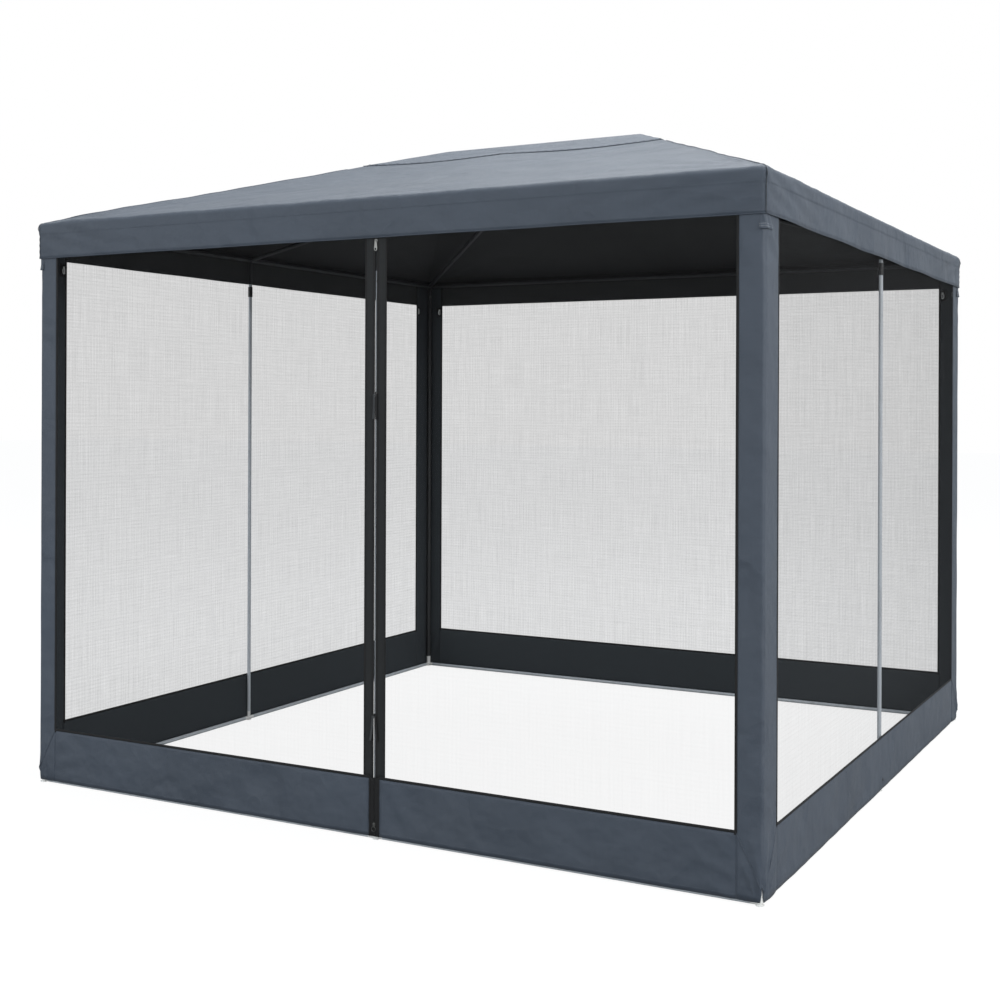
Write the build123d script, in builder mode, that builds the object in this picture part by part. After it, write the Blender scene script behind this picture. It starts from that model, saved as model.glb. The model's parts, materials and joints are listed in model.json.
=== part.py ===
"""Screen house: a square tubular frame, a hipped fabric roof with a valance, and mesh walls with a zipped doorway.

Units are millimetres. Z is up, the doorway faces -Y, and the origin is on the ground under the middle of the roof.
"""

import os
from math import atan, cos, degrees, radians, sin

from build123d import *

os.makedirs("parts", exist_ok=True)

# ---------------------------------------------------------------- overall sizes
width = 3000.0  # along X, over the valance
depth = 3000.0  # along Y, over the valance
eave_height = 2228.0  # fold between roof and valance
valance_drop = 143.0
roof_rise = 442.0  # from the eave fold to the ridge
ridge_half = 448.0  # half the length of the level ridge
band_height = 215.0  # top of the bottom band
hem_height = 12.0  # the walls stop this far above the ground

# ---------------------------------------------------------------- fabrics
skin = 1.2  # coated fabric
mesh_skin = 0.8
seam_gap = 0.3  # between two pieces that are sewn edge to edge
hip_gap = 0.45  # each roof panel is held back this much at a hip
ridge_gap = 0.5
wall_setback = 7.0  # walls hang inside the valance by this much
wall_top_drop = 38.0  # walls hang from this far below the eave fold
front_strip = 86.0  # corner sleeve, width on the front and back walls
side_strip = 133.0  # corner sleeve, width on the side walls
cap_share = 0.25  # share of each slope that the ridge cap covers
cap_rise = 0.5
cap_crest = 0.6  # width of the folded edge along the ridge
tab_height = 55.0
tab_below = 45.0  # how far a tab hangs out below the valance
tab_front = 18.0
tab_side = 53.0

# ---------------------------------------------------------------- doorway and zips
door_x = 100.0  # centre of the doorway zip and of the post behind it
zip_gap = 9.0  # the two zip tapes hang this far apart
edge_width = 37.0
base_tape = 19.0  # half the width of the closed zip in the bottom band
slider_size = (12.0, 2.6, 15.0)
slider_edge = 0.65
slider_gap = 0.3
pull_thickness = 1.1
pull_gap = 0.3
top_slider_drop = 11.0  # below the valance
mid_slider_z = 1545.0
low_slider_z = 430.0
base_slider_z = 52.0
side_slider_z = 48.0

# ---------------------------------------------------------------- frame
post_radius = 11.0
mid_post_radius = 8.0
eave_radius = 9.5
rafter_radius = 9.5
ridge_radius = 11.0
rail_radius = 8.0
tube_wall = 0.8
plug_gap = 0.1  # radial clearance of a plug in its tube
post_gap = 0.3  # between a post and the wall that wraps it
eave_tube_drop = 28.0  # tube axis below the eave fold
rail_lift = 2.0  # under the ground rails
hub_drop = 85.0  # hub centre below the ridge
hub_radius = 24.0
hub_head_radius = 14.0
left_post_y = -180.0  # the left wall's post stands forward of the middle
right_post_y = 0.0
corner_reach = 30.0
tee_reach = 30.0
hub_reach = 42.0
foot_reach = 30.0
corner_foot_top = 55.0
mid_foot_top = 42.0
plug_length = 45.0
post_plug_length = 70.0
foot_disc = 3.5
corner_disc_radius = 13.0
mid_disc_radius = 11.5

# ---------------------------------------------------------------- snap buttons, ties and hooks
corner_button_radius = 3.3
mid_button_radius = 2.6
button_gap = 0.2
button_proud = 2.2
corner_button_drop = 60.0  # these five are below the eave tubes' axis
front_button_drop = 264.0
side_button_drop = 152.0
side_drop = 115.0  # lower end of the side tees' drop arms
front_drop = 228.0
button_edge = 0.9
button_root = 3.0  # how far from the tube's axis a button starts
tie_gap = 0.15
tie_wall = 2.3
tie_height = 48.0
hook_size = (12.0, 2.5, 30.0)
hook_edge = 0.6
hook_drop = 35.0  # hook middle below the valance
hook_inset = 14.0

# ---------------------------------------------------------------- derived places
half_width = width / 2
half_depth = depth / 2
ridge_height = eave_height + roof_rise
valance_bottom = eave_height - valance_drop
wall_top = eave_height - wall_top_drop
eave_tube_z = eave_height - eave_tube_drop
rail_z = rail_radius + rail_lift
hub_z = ridge_height - hub_drop
tie_radius = mid_post_radius + tie_gap + tie_wall
frame_inset = skin + post_gap + max(post_radius, eave_radius, tie_radius)
wall_x = half_width - wall_setback  # outer face of the side walls
wall_y = half_depth - wall_setback
post_x = wall_x - frame_inset  # axes of the corner posts
post_y = wall_y - frame_inset
front_edge_x = wall_x - front_strip  # where the front and back walls meet the sleeves
side_edge_y = wall_y - side_strip
front_slope = atan((ridge_height - eave_height) / half_depth)
side_slope = atan((ridge_height - eave_height) / (half_width - ridge_half))
ridge_tube_z = ridge_height - (skin + seam_gap + ridge_radius) / cos(front_slope)
corner_signs = {"front_left": (-1, -1), "front_right": (1, -1), "back_right": (1, 1), "back_left": (-1, 1)}
mid_posts = {
    "front": (Vector(door_x, -post_y, 0), front_drop, front_button_drop),
    "left": (Vector(-post_x, left_post_y, 0), side_drop, side_button_drop),
    "right": (Vector(post_x, right_post_y, 0), side_drop, side_button_drop),
}
up = Vector(0, 0, 1)
hub_centre = Vector(0, 0, hub_z)


def save(builder, name):
    """Labels a finished piece and writes its STEP file."""
    builder.part.label = name
    export_step(builder.part, f"parts/{name}.step")


def at_height(point, z):
    return Vector(point.X, point.Y, z)


def toward(start, end):
    return (end - start).normalized()


def plug_radius(tube_radius):
    return tube_radius - tube_wall - plug_gap


def tubes(runs, radius, holes=()):
    """Round tubes along straight runs, with cross holes given as (centre, direction, radius)."""
    with BuildPart() as tube:
        for start, end in runs:
            with BuildSketch(Plane(origin=start, z_dir=end - start)):
                Circle(radius)
                Circle(radius - tube_wall, mode=Mode.SUBTRACT)
            extrude(amount=(end - start).length)
        for centre, direction, hole_radius in holes:
            with BuildSketch(Plane(origin=centre, z_dir=direction)):
                Circle(hole_radius)
            extrude(amount=2 * radius, mode=Mode.SUBTRACT)
    return tube


def fittings(groups, disc_radius=0.0):
    """Plug-in fittings. Each has a centre, a core radius, arms and button holes.

    An arm is (direction, tube radius, reach, plug length): a collar as wide as the tube, then a plug inside it.
    """
    with BuildPart() as fitting:
        for centre, core_radius, arms, holes in groups:
            with Locations(centre):
                Sphere(core_radius)
            for direction, radius, reach, plug in arms:
                with BuildSketch(Plane(origin=centre, z_dir=direction)):
                    Circle(radius)
                extrude(amount=reach)
                with BuildSketch(Plane(origin=centre, z_dir=direction)):
                    Circle(plug_radius(radius))
                extrude(amount=reach + plug)
            if disc_radius:
                with BuildSketch(Plane.XY):
                    with Locations((centre.X, centre.Y)):
                        Circle(disc_radius)
                extrude(amount=foot_disc)
            for hole_centre, hole_direction, hole_radius in holes:
                with BuildSketch(Plane(origin=hole_centre - hole_direction, z_dir=hole_direction)):
                    Circle(hole_radius)
                extrude(amount=2 * core_radius, mode=Mode.SUBTRACT)
    return fitting


def slab(low, high):
    """A flat rectangular piece between two opposite corners."""
    with BuildPart() as piece:
        with Locations(((low[0] + high[0]) / 2, (low[1] + high[1]) / 2, (low[2] + high[2]) / 2)):
            Box(high[0] - low[0], high[1] - low[1], high[2] - low[2])
    return piece


# ================================================================ frame
corners = {name: Vector(sx * post_x, sy * post_y, 0) for name, (sx, sy) in corner_signs.items()}

corner_holes = {}
for name, foot in corners.items():
    inward = toward(at_height(foot, 0), Vector(0, 0, 0))
    corner_holes[name] = (at_height(foot, eave_tube_z - corner_button_drop), inward, corner_button_radius + button_gap)
    post = tubes(
        [(at_height(foot, corner_foot_top), at_height(foot, eave_tube_z - corner_reach))],
        post_radius,
        [corner_holes[name]],
    )
    save(post, f"corner_post_{name}")

mid_holes = {}
for side, (foot, drop, button_drop) in mid_posts.items():
    outward = Vector(0, -1, 0)
    if side != "front":
        outward = Vector(-1 if foot.X > 0 else 1, 0, 0)
    mid_holes[side] = (at_height(foot, eave_tube_z - button_drop), outward, mid_button_radius + button_gap)
    run = (at_height(foot, mid_foot_top), at_height(foot, eave_tube_z - drop))
    post = tubes([run], mid_post_radius, [mid_holes[side]])
    save(post, f"mid_post_{side}")

side_ends = {
    "front": ("front_left", "front_right"),
    "right": ("front_right", "back_right"),
    "back": ("back_right", "back_left"),
    "left": ("back_left", "front_left"),
}
for side, (first, last) in side_ends.items():
    along = toward(corners[first], corners[last])
    for prefix, z, radius, end_reach, mid_reach in (
        ("eave_tubes", eave_tube_z, eave_radius, corner_reach, tee_reach),
        ("ground_rail", rail_z, rail_radius, foot_reach, foot_reach),
    ):
        start = at_height(corners[first], z) + along * end_reach
        end = at_height(corners[last], z) - along * end_reach
        runs = [(start, end)]
        if side in mid_posts:
            middle = at_height(mid_posts[side][0], z)
            runs = [(start, middle - along * mid_reach), (middle + along * mid_reach, end)]
        save(tubes(runs, radius), f"{prefix}_{side}")

eave_corners = {name: at_height(foot, eave_tube_z) for name, foot in corners.items()}
eave_middles = {side: at_height(values[0], eave_tube_z) for side, values in mid_posts.items()}

rafter_runs = []
for feet, reach in ((eave_corners, corner_reach), (eave_middles, tee_reach)):
    for foot in feet.values():
        slope = toward(foot, hub_centre)
        rafter_runs.append((foot + slope * reach, hub_centre - slope * hub_reach))
save(tubes(rafter_runs, rafter_radius), "rafters")

connector_groups = []
foot_groups = []
for name, foot in corners.items():
    sx, sy = corner_signs[name]
    centre = eave_corners[name]
    arms = [
        (-up, post_radius, corner_reach, post_plug_length),
        (Vector(-sx, 0, 0), eave_radius, corner_reach, plug_length),
        (Vector(0, -sy, 0), eave_radius, corner_reach, plug_length),
        (toward(centre, hub_centre), rafter_radius, corner_reach, plug_length),
    ]
    connector_groups.append((centre, post_radius, arms, [corner_holes[name]]))
    arms = [
        (up, post_radius, corner_foot_top - rail_z, plug_length),
        (Vector(-sx, 0, 0), rail_radius, foot_reach, plug_length),
        (Vector(0, -sy, 0), rail_radius, foot_reach, plug_length),
    ]
    foot_groups.append((at_height(foot, rail_z), rail_radius, arms, []))
save(fittings(connector_groups), "corner_connectors")
save(fittings(foot_groups, corner_disc_radius), "corner_feet")

tee_groups = []
foot_groups = []
for side, (foot, drop, _) in mid_posts.items():
    along = toward(corners[side_ends[side][0]], corners[side_ends[side][1]])
    centre = eave_middles[side]
    arms = [
        (-up, mid_post_radius, drop, post_plug_length),
        (along, eave_radius, tee_reach, plug_length),
        (-along, eave_radius, tee_reach, plug_length),
        (toward(centre, hub_centre), rafter_radius, tee_reach, plug_length),
    ]
    tee_groups.append((centre, eave_radius, arms, [mid_holes[side]]))
    arms = [
        (up, mid_post_radius, mid_foot_top - rail_z, plug_length),
        (along, rail_radius, foot_reach, plug_length),
        (-along, rail_radius, foot_reach, plug_length),
    ]
    foot_groups.append((at_height(foot, rail_z), rail_radius, arms, []))
save(fittings(tee_groups), "mid_tees")
save(fittings(foot_groups, mid_disc_radius), "mid_feet")

# The hub takes all the rafters, and its saddle carries the ridge tube.
with BuildPart() as peak_hub:
    with BuildSketch(Plane.XY.offset(hub_z - hub_radius)):
        Circle(hub_radius)
    extrude(amount=2 * hub_radius)
    with BuildSketch(Plane.XY.offset(hub_z)):
        Circle(hub_head_radius)
    extrude(amount=ridge_tube_z - hub_z)
    for foot in list(eave_corners.values()) + list(eave_middles.values()):
        outward = toward(hub_centre, foot)
        with BuildSketch(Plane(origin=hub_centre, z_dir=outward)):
            Circle(rafter_radius)
        extrude(amount=hub_reach)
        with BuildSketch(Plane(origin=hub_centre, z_dir=outward)):
            Circle(plug_radius(rafter_radius))
        extrude(amount=hub_reach + plug_length)
    with BuildSketch(Plane(origin=(-hub_radius, 0, ridge_tube_z), z_dir=(1, 0, 0))):
        Circle(ridge_radius + plug_gap)
    extrude(amount=2 * hub_radius, mode=Mode.SUBTRACT)
save(peak_hub, "peak_hub")

ridge_end = ridge_half - ridge_radius
save(
    tubes([(Vector(-ridge_end, 0, ridge_tube_z), Vector(ridge_end, 0, ridge_tube_z))], ridge_radius),
    "ridge_tube",
)

# ================================================================ snap buttons and post ties
for name, (centre, direction, _) in corner_holes.items():
    with BuildPart() as snap_button:
        with BuildSketch(Plane(origin=centre + direction * button_root, z_dir=direction)):
            Circle(corner_button_radius)
        extrude(amount=post_radius + button_proud - button_root)
        fillet(snap_button.faces().sort_by(Axis(centre, direction))[-1].edges(), button_edge)
    save(snap_button, f"snap_button_{name}")

for side, (centre, direction, _) in mid_holes.items():
    cover_radius = mid_post_radius if side == "front" else tie_radius
    with BuildPart() as snap_button:
        with BuildSketch(Plane(origin=centre + direction * button_root, z_dir=direction)):
            Circle(mid_button_radius)
        extrude(amount=cover_radius + button_proud - button_root)
        fillet(snap_button.faces().sort_by(Axis(centre, direction))[-1].edges(), button_edge)
    save(snap_button, f"snap_button_{side}")

with BuildPart() as post_ties:
    for side in ("left", "right"):
        centre, direction, hole_radius = mid_holes[side]
        with BuildSketch(Plane(origin=centre - up * tie_height / 2, z_dir=up)):
            Circle(tie_radius)
            Circle(mid_post_radius + tie_gap, mode=Mode.SUBTRACT)
        extrude(amount=tie_height)
        with BuildSketch(Plane(origin=centre, z_dir=direction)):
            Circle(hole_radius)
        extrude(amount=2 * mid_post_radius, mode=Mode.SUBTRACT)
save(post_ties, "post_ties")

# ================================================================ roof cover
# Four sloping panels and four valance strips, sewn edge to edge.
front_panel = Plane(
    origin=(0, -half_depth, eave_height), x_dir=(1, 0, 0), z_dir=(0, -sin(front_slope), cos(front_slope))
)
side_panel = Plane(
    origin=(half_width, 0, eave_height), x_dir=(0, 1, 0), z_dir=(sin(side_slope), 0, cos(side_slope))
)
front_rise = half_depth / cos(front_slope)
side_run = half_width - ridge_half
side_rise = side_run / cos(side_slope)
front_hip = ((half_width - ridge_half) ** 2 + front_rise**2) ** 0.5
side_hip = (half_depth**2 + side_rise**2) ** 0.5
front_back_off = hip_gap * front_hip / front_rise  # the hip gap, measured along the eave
side_back_off = hip_gap * side_hip / side_rise

with BuildPart() as roof_cover:
    with BuildSketch(front_panel):
        Polygon(
            (-half_width + front_back_off, 0),
            (half_width - front_back_off, 0),
            (ridge_half - front_back_off, front_rise - ridge_gap),
            (-ridge_half + front_back_off, front_rise - ridge_gap),
            align=None,
        )
    extrude(amount=-skin)
    with BuildSketch(side_panel):
        Polygon(
            (-half_depth + side_back_off, 0),
            (half_depth - side_back_off, 0),
            (0, side_rise - side_back_off * side_rise / half_depth),
            align=None,
        )
    extrude(amount=-skin)
    mirror(about=Plane.XZ)
    mirror(about=Plane.YZ)
    valance_top = eave_height - skin - seam_gap - skin * sin(side_slope)
    valance_mid = (valance_bottom + valance_top) / 2
    with Locations((0, -half_depth + skin / 2, valance_mid), (0, half_depth - skin / 2, valance_mid)):
        Box(width, skin, valance_top - valance_bottom)
    with Locations((-half_width + skin / 2, 0, valance_mid), (half_width - skin / 2, 0, valance_mid)):
        Box(skin, depth - 2 * (skin + seam_gap), valance_top - valance_bottom)
save(roof_cover, "roof_cover")

# The cap lies over the ridge and the top of each slope.
cap_drop = cap_share * (ridge_height - eave_height)
cap_x = ridge_half + cap_share * (half_width - ridge_half)
cap_y = cap_share * half_depth
with BuildPart() as ridge_cap:
    for lift, mode in ((cap_rise + skin, Mode.ADD), (cap_rise, Mode.SUBTRACT)):
        with BuildSketch(Plane.XY.offset(ridge_height - cap_drop + lift)):
            Rectangle(2 * cap_x, 2 * cap_y)
        with BuildSketch(Plane.XY.offset(ridge_height + lift)):
            Rectangle(2 * ridge_half, cap_crest)
        loft(ruled=True, mode=mode)
save(ridge_cap, "ridge_cap")

# ================================================================ walls
for name, (sx, sy) in corner_signs.items():
    with BuildPart() as corner_sleeve:
        with BuildSketch(Plane.XY.offset(hem_height)):
            with Locations((sx * (front_edge_x + wall_x) / 2, sy * (wall_y - skin / 2))):
                Rectangle(front_strip, skin)
            with Locations((sx * (wall_x - skin / 2), sy * (side_edge_y + wall_y) / 2)):
                Rectangle(skin, side_strip)
        extrude(amount=wall_top - hem_height)
    save(corner_sleeve, f"corner_sleeve_{name}")

inner_y = wall_y - skin
inner_x = wall_x - skin
x_end = front_edge_x - seam_gap
y_end = side_edge_y - seam_gap
left_edge_x = door_x - zip_gap / 2 - edge_width
right_edge_x = door_x + zip_gap / 2 + edge_width
left_tape_x = door_x - base_tape
right_tape_x = door_x + base_tape
mesh_bottom = band_height + seam_gap

front_mesh_y = (-inner_y - (skin - mesh_skin) / 2 - mesh_skin, -inner_y - (skin - mesh_skin) / 2)
save(
    slab((-x_end, front_mesh_y[0], mesh_bottom), (left_edge_x - seam_gap, front_mesh_y[1], wall_top)),
    "mesh_front_left",
)
save(
    slab((right_edge_x + seam_gap, front_mesh_y[0], mesh_bottom), (x_end, front_mesh_y[1], wall_top)),
    "mesh_front_right",
)
save(slab((-x_end, -front_mesh_y[1], mesh_bottom), (x_end, -front_mesh_y[0], wall_top)), "mesh_back")
side_mesh_x = (inner_x + (skin - mesh_skin) / 2, inner_x + (skin - mesh_skin) / 2 + mesh_skin)
save(slab((-side_mesh_x[1], -y_end, mesh_bottom), (-side_mesh_x[0], y_end, wall_top)), "mesh_left")
save(slab((side_mesh_x[0], -y_end, mesh_bottom), (side_mesh_x[1], y_end, wall_top)), "mesh_right")

save(slab((-x_end, -wall_y, hem_height), (left_tape_x - seam_gap, -inner_y, band_height)), "band_front_left")
save(slab((right_tape_x + seam_gap, -wall_y, hem_height), (x_end, -inner_y, band_height)), "band_front_right")
save(slab((-x_end, inner_y, hem_height), (x_end, wall_y, band_height)), "band_back")
save(slab((-wall_x, -y_end, hem_height), (-inner_x, y_end, band_height)), "band_left")
save(slab((inner_x, -y_end, hem_height), (wall_x, y_end, band_height)), "band_right")

# Each half of the doorway ends in a strip that narrows to the zip tape in the bottom band.
for side, sign in (("left", -1), ("right", 1)):
    upper_inner = door_x + sign * zip_gap / 2
    upper_outer = upper_inner + sign * edge_width
    tape_inner = door_x + sign * seam_gap / 2
    tape_outer = door_x + sign * base_tape
    with BuildPart() as door_edge:
        with BuildSketch(Plane.XZ.offset(inner_y)):
            with BuildLine():
                Polyline(
                    (upper_inner, wall_top),
                    (upper_inner, mesh_bottom),
                    (tape_inner, mesh_bottom),
                    (tape_inner, hem_height),
                    (tape_outer, hem_height),
                    (tape_outer, mesh_bottom),
                    (upper_outer, mesh_bottom),
                    (upper_outer, wall_top),
                    close=True,
                )
            make_face()
        extrude(amount=skin)
    save(door_edge, f"door_edge_{side}")

# Small tabs that close round each corner, under the valance.
tab_bottom = valance_bottom - tab_below
with BuildPart() as corner_tabs:
    for sx, sy in corner_signs.values():
        tab_x = sx * (wall_x + seam_gap + skin / 2)
        tab_y = sy * (wall_y + seam_gap + skin / 2)
        with BuildSketch(Plane.XY.offset(tab_bottom)):
            with Locations((tab_x - sx * (tab_front - skin) / 2, tab_y)):
                Rectangle(tab_front, skin)
            with Locations((tab_x, tab_y - sy * (tab_side - skin) / 2)):
                Rectangle(skin, tab_side)
        extrude(amount=tab_height)
save(corner_tabs, "corner_tabs")

# Hooks inside the sleeves, which hold a wall that is drawn aside.
hook_width, hook_depth, hook_height = hook_size
hook_z = valance_bottom - hook_drop
with BuildPart() as wall_hooks:
    for sx, sy in corner_signs.values():
        with Locations((sx * (front_edge_x + hook_inset), sy * (inner_y - seam_gap - hook_depth / 2), hook_z)):
            Box(hook_width, hook_depth, hook_height)
        with Locations((sx * (inner_x - seam_gap - hook_depth / 2), sy * (side_edge_y + hook_inset), hook_z)):
            Box(hook_depth, hook_width, hook_height)
    fillet(wall_hooks.edges().filter_by(Axis.Z), hook_edge)
save(wall_hooks, "wall_hooks")

# ================================================================ zip sliders and pulls
slider_width, slider_depth, slider_height = slider_size
top_slider_z = valance_bottom - top_slider_drop
slider_y = -wall_y - slider_gap - slider_depth / 2
pull_y = -wall_y - slider_gap - slider_depth - pull_gap - pull_thickness


def slider(centre, size):
    """A zip slider, with rounded upright edges."""
    with BuildPart() as body:
        with Locations(centre):
            Box(*size)
        fillet(body.edges().filter_by(Axis.Z), slider_edge)
    return body


save(slider((door_x, slider_y, top_slider_z), slider_size), "zip_slider_top")
save(slider((door_x, slider_y, mid_slider_z), slider_size), "zip_slider_middle")
save(slider((door_x, slider_y, low_slider_z), slider_size), "zip_slider_lower")
save(slider((door_x, slider_y, base_slider_z), slider_size), "zip_slider_base")
side_slider_x = wall_x + slider_gap + slider_depth / 2
turned_size = (slider_depth, slider_width, slider_height)
save(slider((-side_slider_x, left_post_y, side_slider_z), turned_size), "zip_slider_left")
save(slider((side_slider_x, right_post_y, side_slider_z), turned_size), "zip_slider_right")

pull_plane = Plane.XZ.offset(-pull_y - pull_thickness)
top_pull_length = 34.0
top_pull_radius = 7.0
top_pull_hole = 3.5
with BuildPart() as zip_pull_top:
    with BuildSketch(pull_plane):
        with Locations((door_x, top_slider_z - top_pull_length / 2)):
            SlotCenterToCenter(top_pull_length - 2 * top_pull_radius, 2 * top_pull_radius, rotation=90)
        with Locations((door_x, top_slider_z - top_pull_length + top_pull_radius)):
            Circle(top_pull_hole, mode=Mode.SUBTRACT)
    extrude(amount=pull_thickness)
save(zip_pull_top, "zip_pull_top")

ribbon_width = 9.0
ribbon_length = 88.0
ribbon_spread = {"middle": 5.0, "lower": 9.0}  # half the distance between the two ribbons' middles
ribbon_flare = {"middle": radians(1.5), "lower": radians(6.0)}
ribbon_bar = 9.0  # height of the stitched head that joins the two ribbons
for place, slider_z in (("middle", mid_slider_z), ("lower", low_slider_z)):
    with BuildPart() as pull_ribbons:
        flare = ribbon_flare[place]
        ribbon_z = slider_z - (ribbon_length * cos(flare) + ribbon_width * sin(flare)) / 2
        for sign in (-1, 1):
            with BuildSketch(pull_plane):
                with Locations((door_x + sign * ribbon_spread[place], ribbon_z)):
                    Rectangle(ribbon_width, ribbon_length, rotation=sign * degrees(flare))
            extrude(amount=pull_thickness)
        with BuildSketch(pull_plane):
            with Locations((door_x, slider_z - ribbon_bar / 2)):
                Rectangle(2 * ribbon_spread[place], ribbon_bar)
        extrude(amount=pull_thickness)
    save(pull_ribbons, f"zip_pull_{place}")

ring_radius = 8.0
ring_wire = 1.6
ring_bar = (3.2, 6.0)  # the loop that hangs the ring from its slider
with BuildPart() as zip_pull_base:
    with BuildSketch(pull_plane):
        with Locations((door_x, base_slider_z - ring_bar[1] - ring_radius)):
            Circle(ring_radius + ring_wire / 2)
            Circle(ring_radius - ring_wire / 2, mode=Mode.SUBTRACT)
        with Locations((door_x, base_slider_z - ring_bar[1] / 2)):
            Rectangle(*ring_bar)
    extrude(amount=pull_thickness)
save(zip_pull_base, "zip_pull_base")
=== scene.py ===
import json
import math

import bmesh
import bpy
from mathutils import Euler, Matrix, Vector, noise


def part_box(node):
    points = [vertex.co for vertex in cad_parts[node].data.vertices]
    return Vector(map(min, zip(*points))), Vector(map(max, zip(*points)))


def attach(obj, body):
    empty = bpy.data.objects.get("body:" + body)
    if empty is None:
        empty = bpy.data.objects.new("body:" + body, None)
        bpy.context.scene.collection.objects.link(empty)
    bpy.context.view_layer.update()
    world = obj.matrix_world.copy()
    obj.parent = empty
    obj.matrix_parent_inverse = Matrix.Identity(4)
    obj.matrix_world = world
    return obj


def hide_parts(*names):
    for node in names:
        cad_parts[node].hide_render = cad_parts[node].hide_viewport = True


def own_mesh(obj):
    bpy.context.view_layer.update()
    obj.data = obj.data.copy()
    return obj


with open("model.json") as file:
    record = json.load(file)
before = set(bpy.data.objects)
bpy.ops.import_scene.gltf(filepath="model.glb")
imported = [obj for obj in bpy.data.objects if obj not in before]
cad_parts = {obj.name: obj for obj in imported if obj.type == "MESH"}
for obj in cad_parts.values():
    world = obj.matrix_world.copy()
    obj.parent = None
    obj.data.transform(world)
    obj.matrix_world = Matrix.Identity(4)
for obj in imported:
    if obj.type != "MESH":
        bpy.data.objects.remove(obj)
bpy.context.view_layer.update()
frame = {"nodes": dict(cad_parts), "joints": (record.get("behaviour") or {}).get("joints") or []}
scene = bpy.context.scene
scene.view_settings.view_transform = "Standard"
print("frame loaded:", len(frame["nodes"]), "nodes")

up = Vector((0, 0, 1))
sides = {  # along the wall, anticlockwise from above, and outward
    "front": (Vector((1, 0, 0)), Vector((0, -1, 0))),
    "right": (Vector((0, 1, 0)), Vector((1, 0, 0))),
    "back": (Vector((-1, 0, 0)), Vector((0, 1, 0))),
    "left": (Vector((0, -1, 0)), Vector((-1, 0, 0))),
}
corners = {"front_left": (-1, -1), "front_right": (1, -1), "back_right": (1, 1), "back_left": (-1, 1)}


# camera, floor and light

studio = {
    "cameraPlace": (2.8393, -5.6628, 1.4997),
    "cameraTurn": math.radians(28.346),
    "cameraRoll": math.radians(0.2147),
    "lens": 51.645,
    "lensRise": -0.0926,
    "floorSize": 90.0,
    "floorShade": 0.30,
    "floorSeenShade": 0.11,
    "floorGlow": 0.915,
    "backdrop": 1.0,
    "ambient": (0.62, 0.66, 0.70),
    "lamps": {
        "keyRight": {
            "place": (8.5, -3.0, 4.6), "aim": (0.6, 0, 1.3), "size": 5.0,
            "watts": 490, "tint": (1.0, 0.99, 0.97),
        },
        "overhead": {
            "place": (0.3, 1.6, 9.5), "aim": (0, 0, 2.2), "size": 8.0,
            "watts": 740, "tint": (0.92, 0.96, 1.0),
        },
        "fillFront": {
            "place": (-3.5, -9.0, 3.2), "aim": (0, 0, 1.2), "size": 6.0,
            "watts": 260, "tint": (0.97, 0.99, 1.0),
        },
    },
}


def makeCamera():
    data = bpy.data.cameras.new("camera")
    data.sensor_width = 36.0
    data.lens = studio["lens"]
    data.shift_y = studio["lensRise"]
    data.clip_end = 200.0
    camera = bpy.data.objects.new("camera", data)
    turn = Euler((math.pi / 2, 0, studio["cameraTurn"])).to_matrix()
    camera.matrix_world = (
        Matrix.Translation(studio["cameraPlace"])
        @ (turn @ Matrix.Rotation(studio["cameraRoll"], 3, "Z")).to_4x4()
    )
    scene.collection.objects.link(camera)
    scene.camera = camera


def makeLamps():
    for name, lamp in studio["lamps"].items():
        data = bpy.data.lights.new(name, "AREA")
        data.shape = "SQUARE"
        data.size = lamp["size"]
        data.energy = lamp["watts"]
        data.color = lamp["tint"]
        item = bpy.data.objects.new(name, data)
        item.location = lamp["place"]
        item.rotation_euler = (Vector(lamp["aim"]) - item.location).to_track_quat("-Z", "Y").to_euler()
        item.visible_camera = False
        scene.collection.objects.link(item)


def makeBackdrop():
    world = bpy.data.worlds.new("studio")
    world.use_nodes = True
    tree = world.node_tree
    tree.nodes.clear()
    seen = tree.nodes.new("ShaderNodeBackground")
    seen.inputs["Color"].default_value = (1, 1, 1, 1)
    seen.inputs["Strength"].default_value = studio["backdrop"]
    lit = tree.nodes.new("ShaderNodeBackground")
    lit.inputs["Color"].default_value = (*studio["ambient"], 1)
    rays = tree.nodes.new("ShaderNodeLightPath")
    mix = tree.nodes.new("ShaderNodeMixShader")
    out = tree.nodes.new("ShaderNodeOutputWorld")
    tree.links.new(rays.outputs["Is Camera Ray"], mix.inputs["Fac"])
    tree.links.new(lit.outputs[0], mix.inputs[1])
    tree.links.new(seen.outputs[0], mix.inputs[2])
    tree.links.new(mix.outputs[0], out.inputs["Surface"])
    scene.world = world


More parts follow.
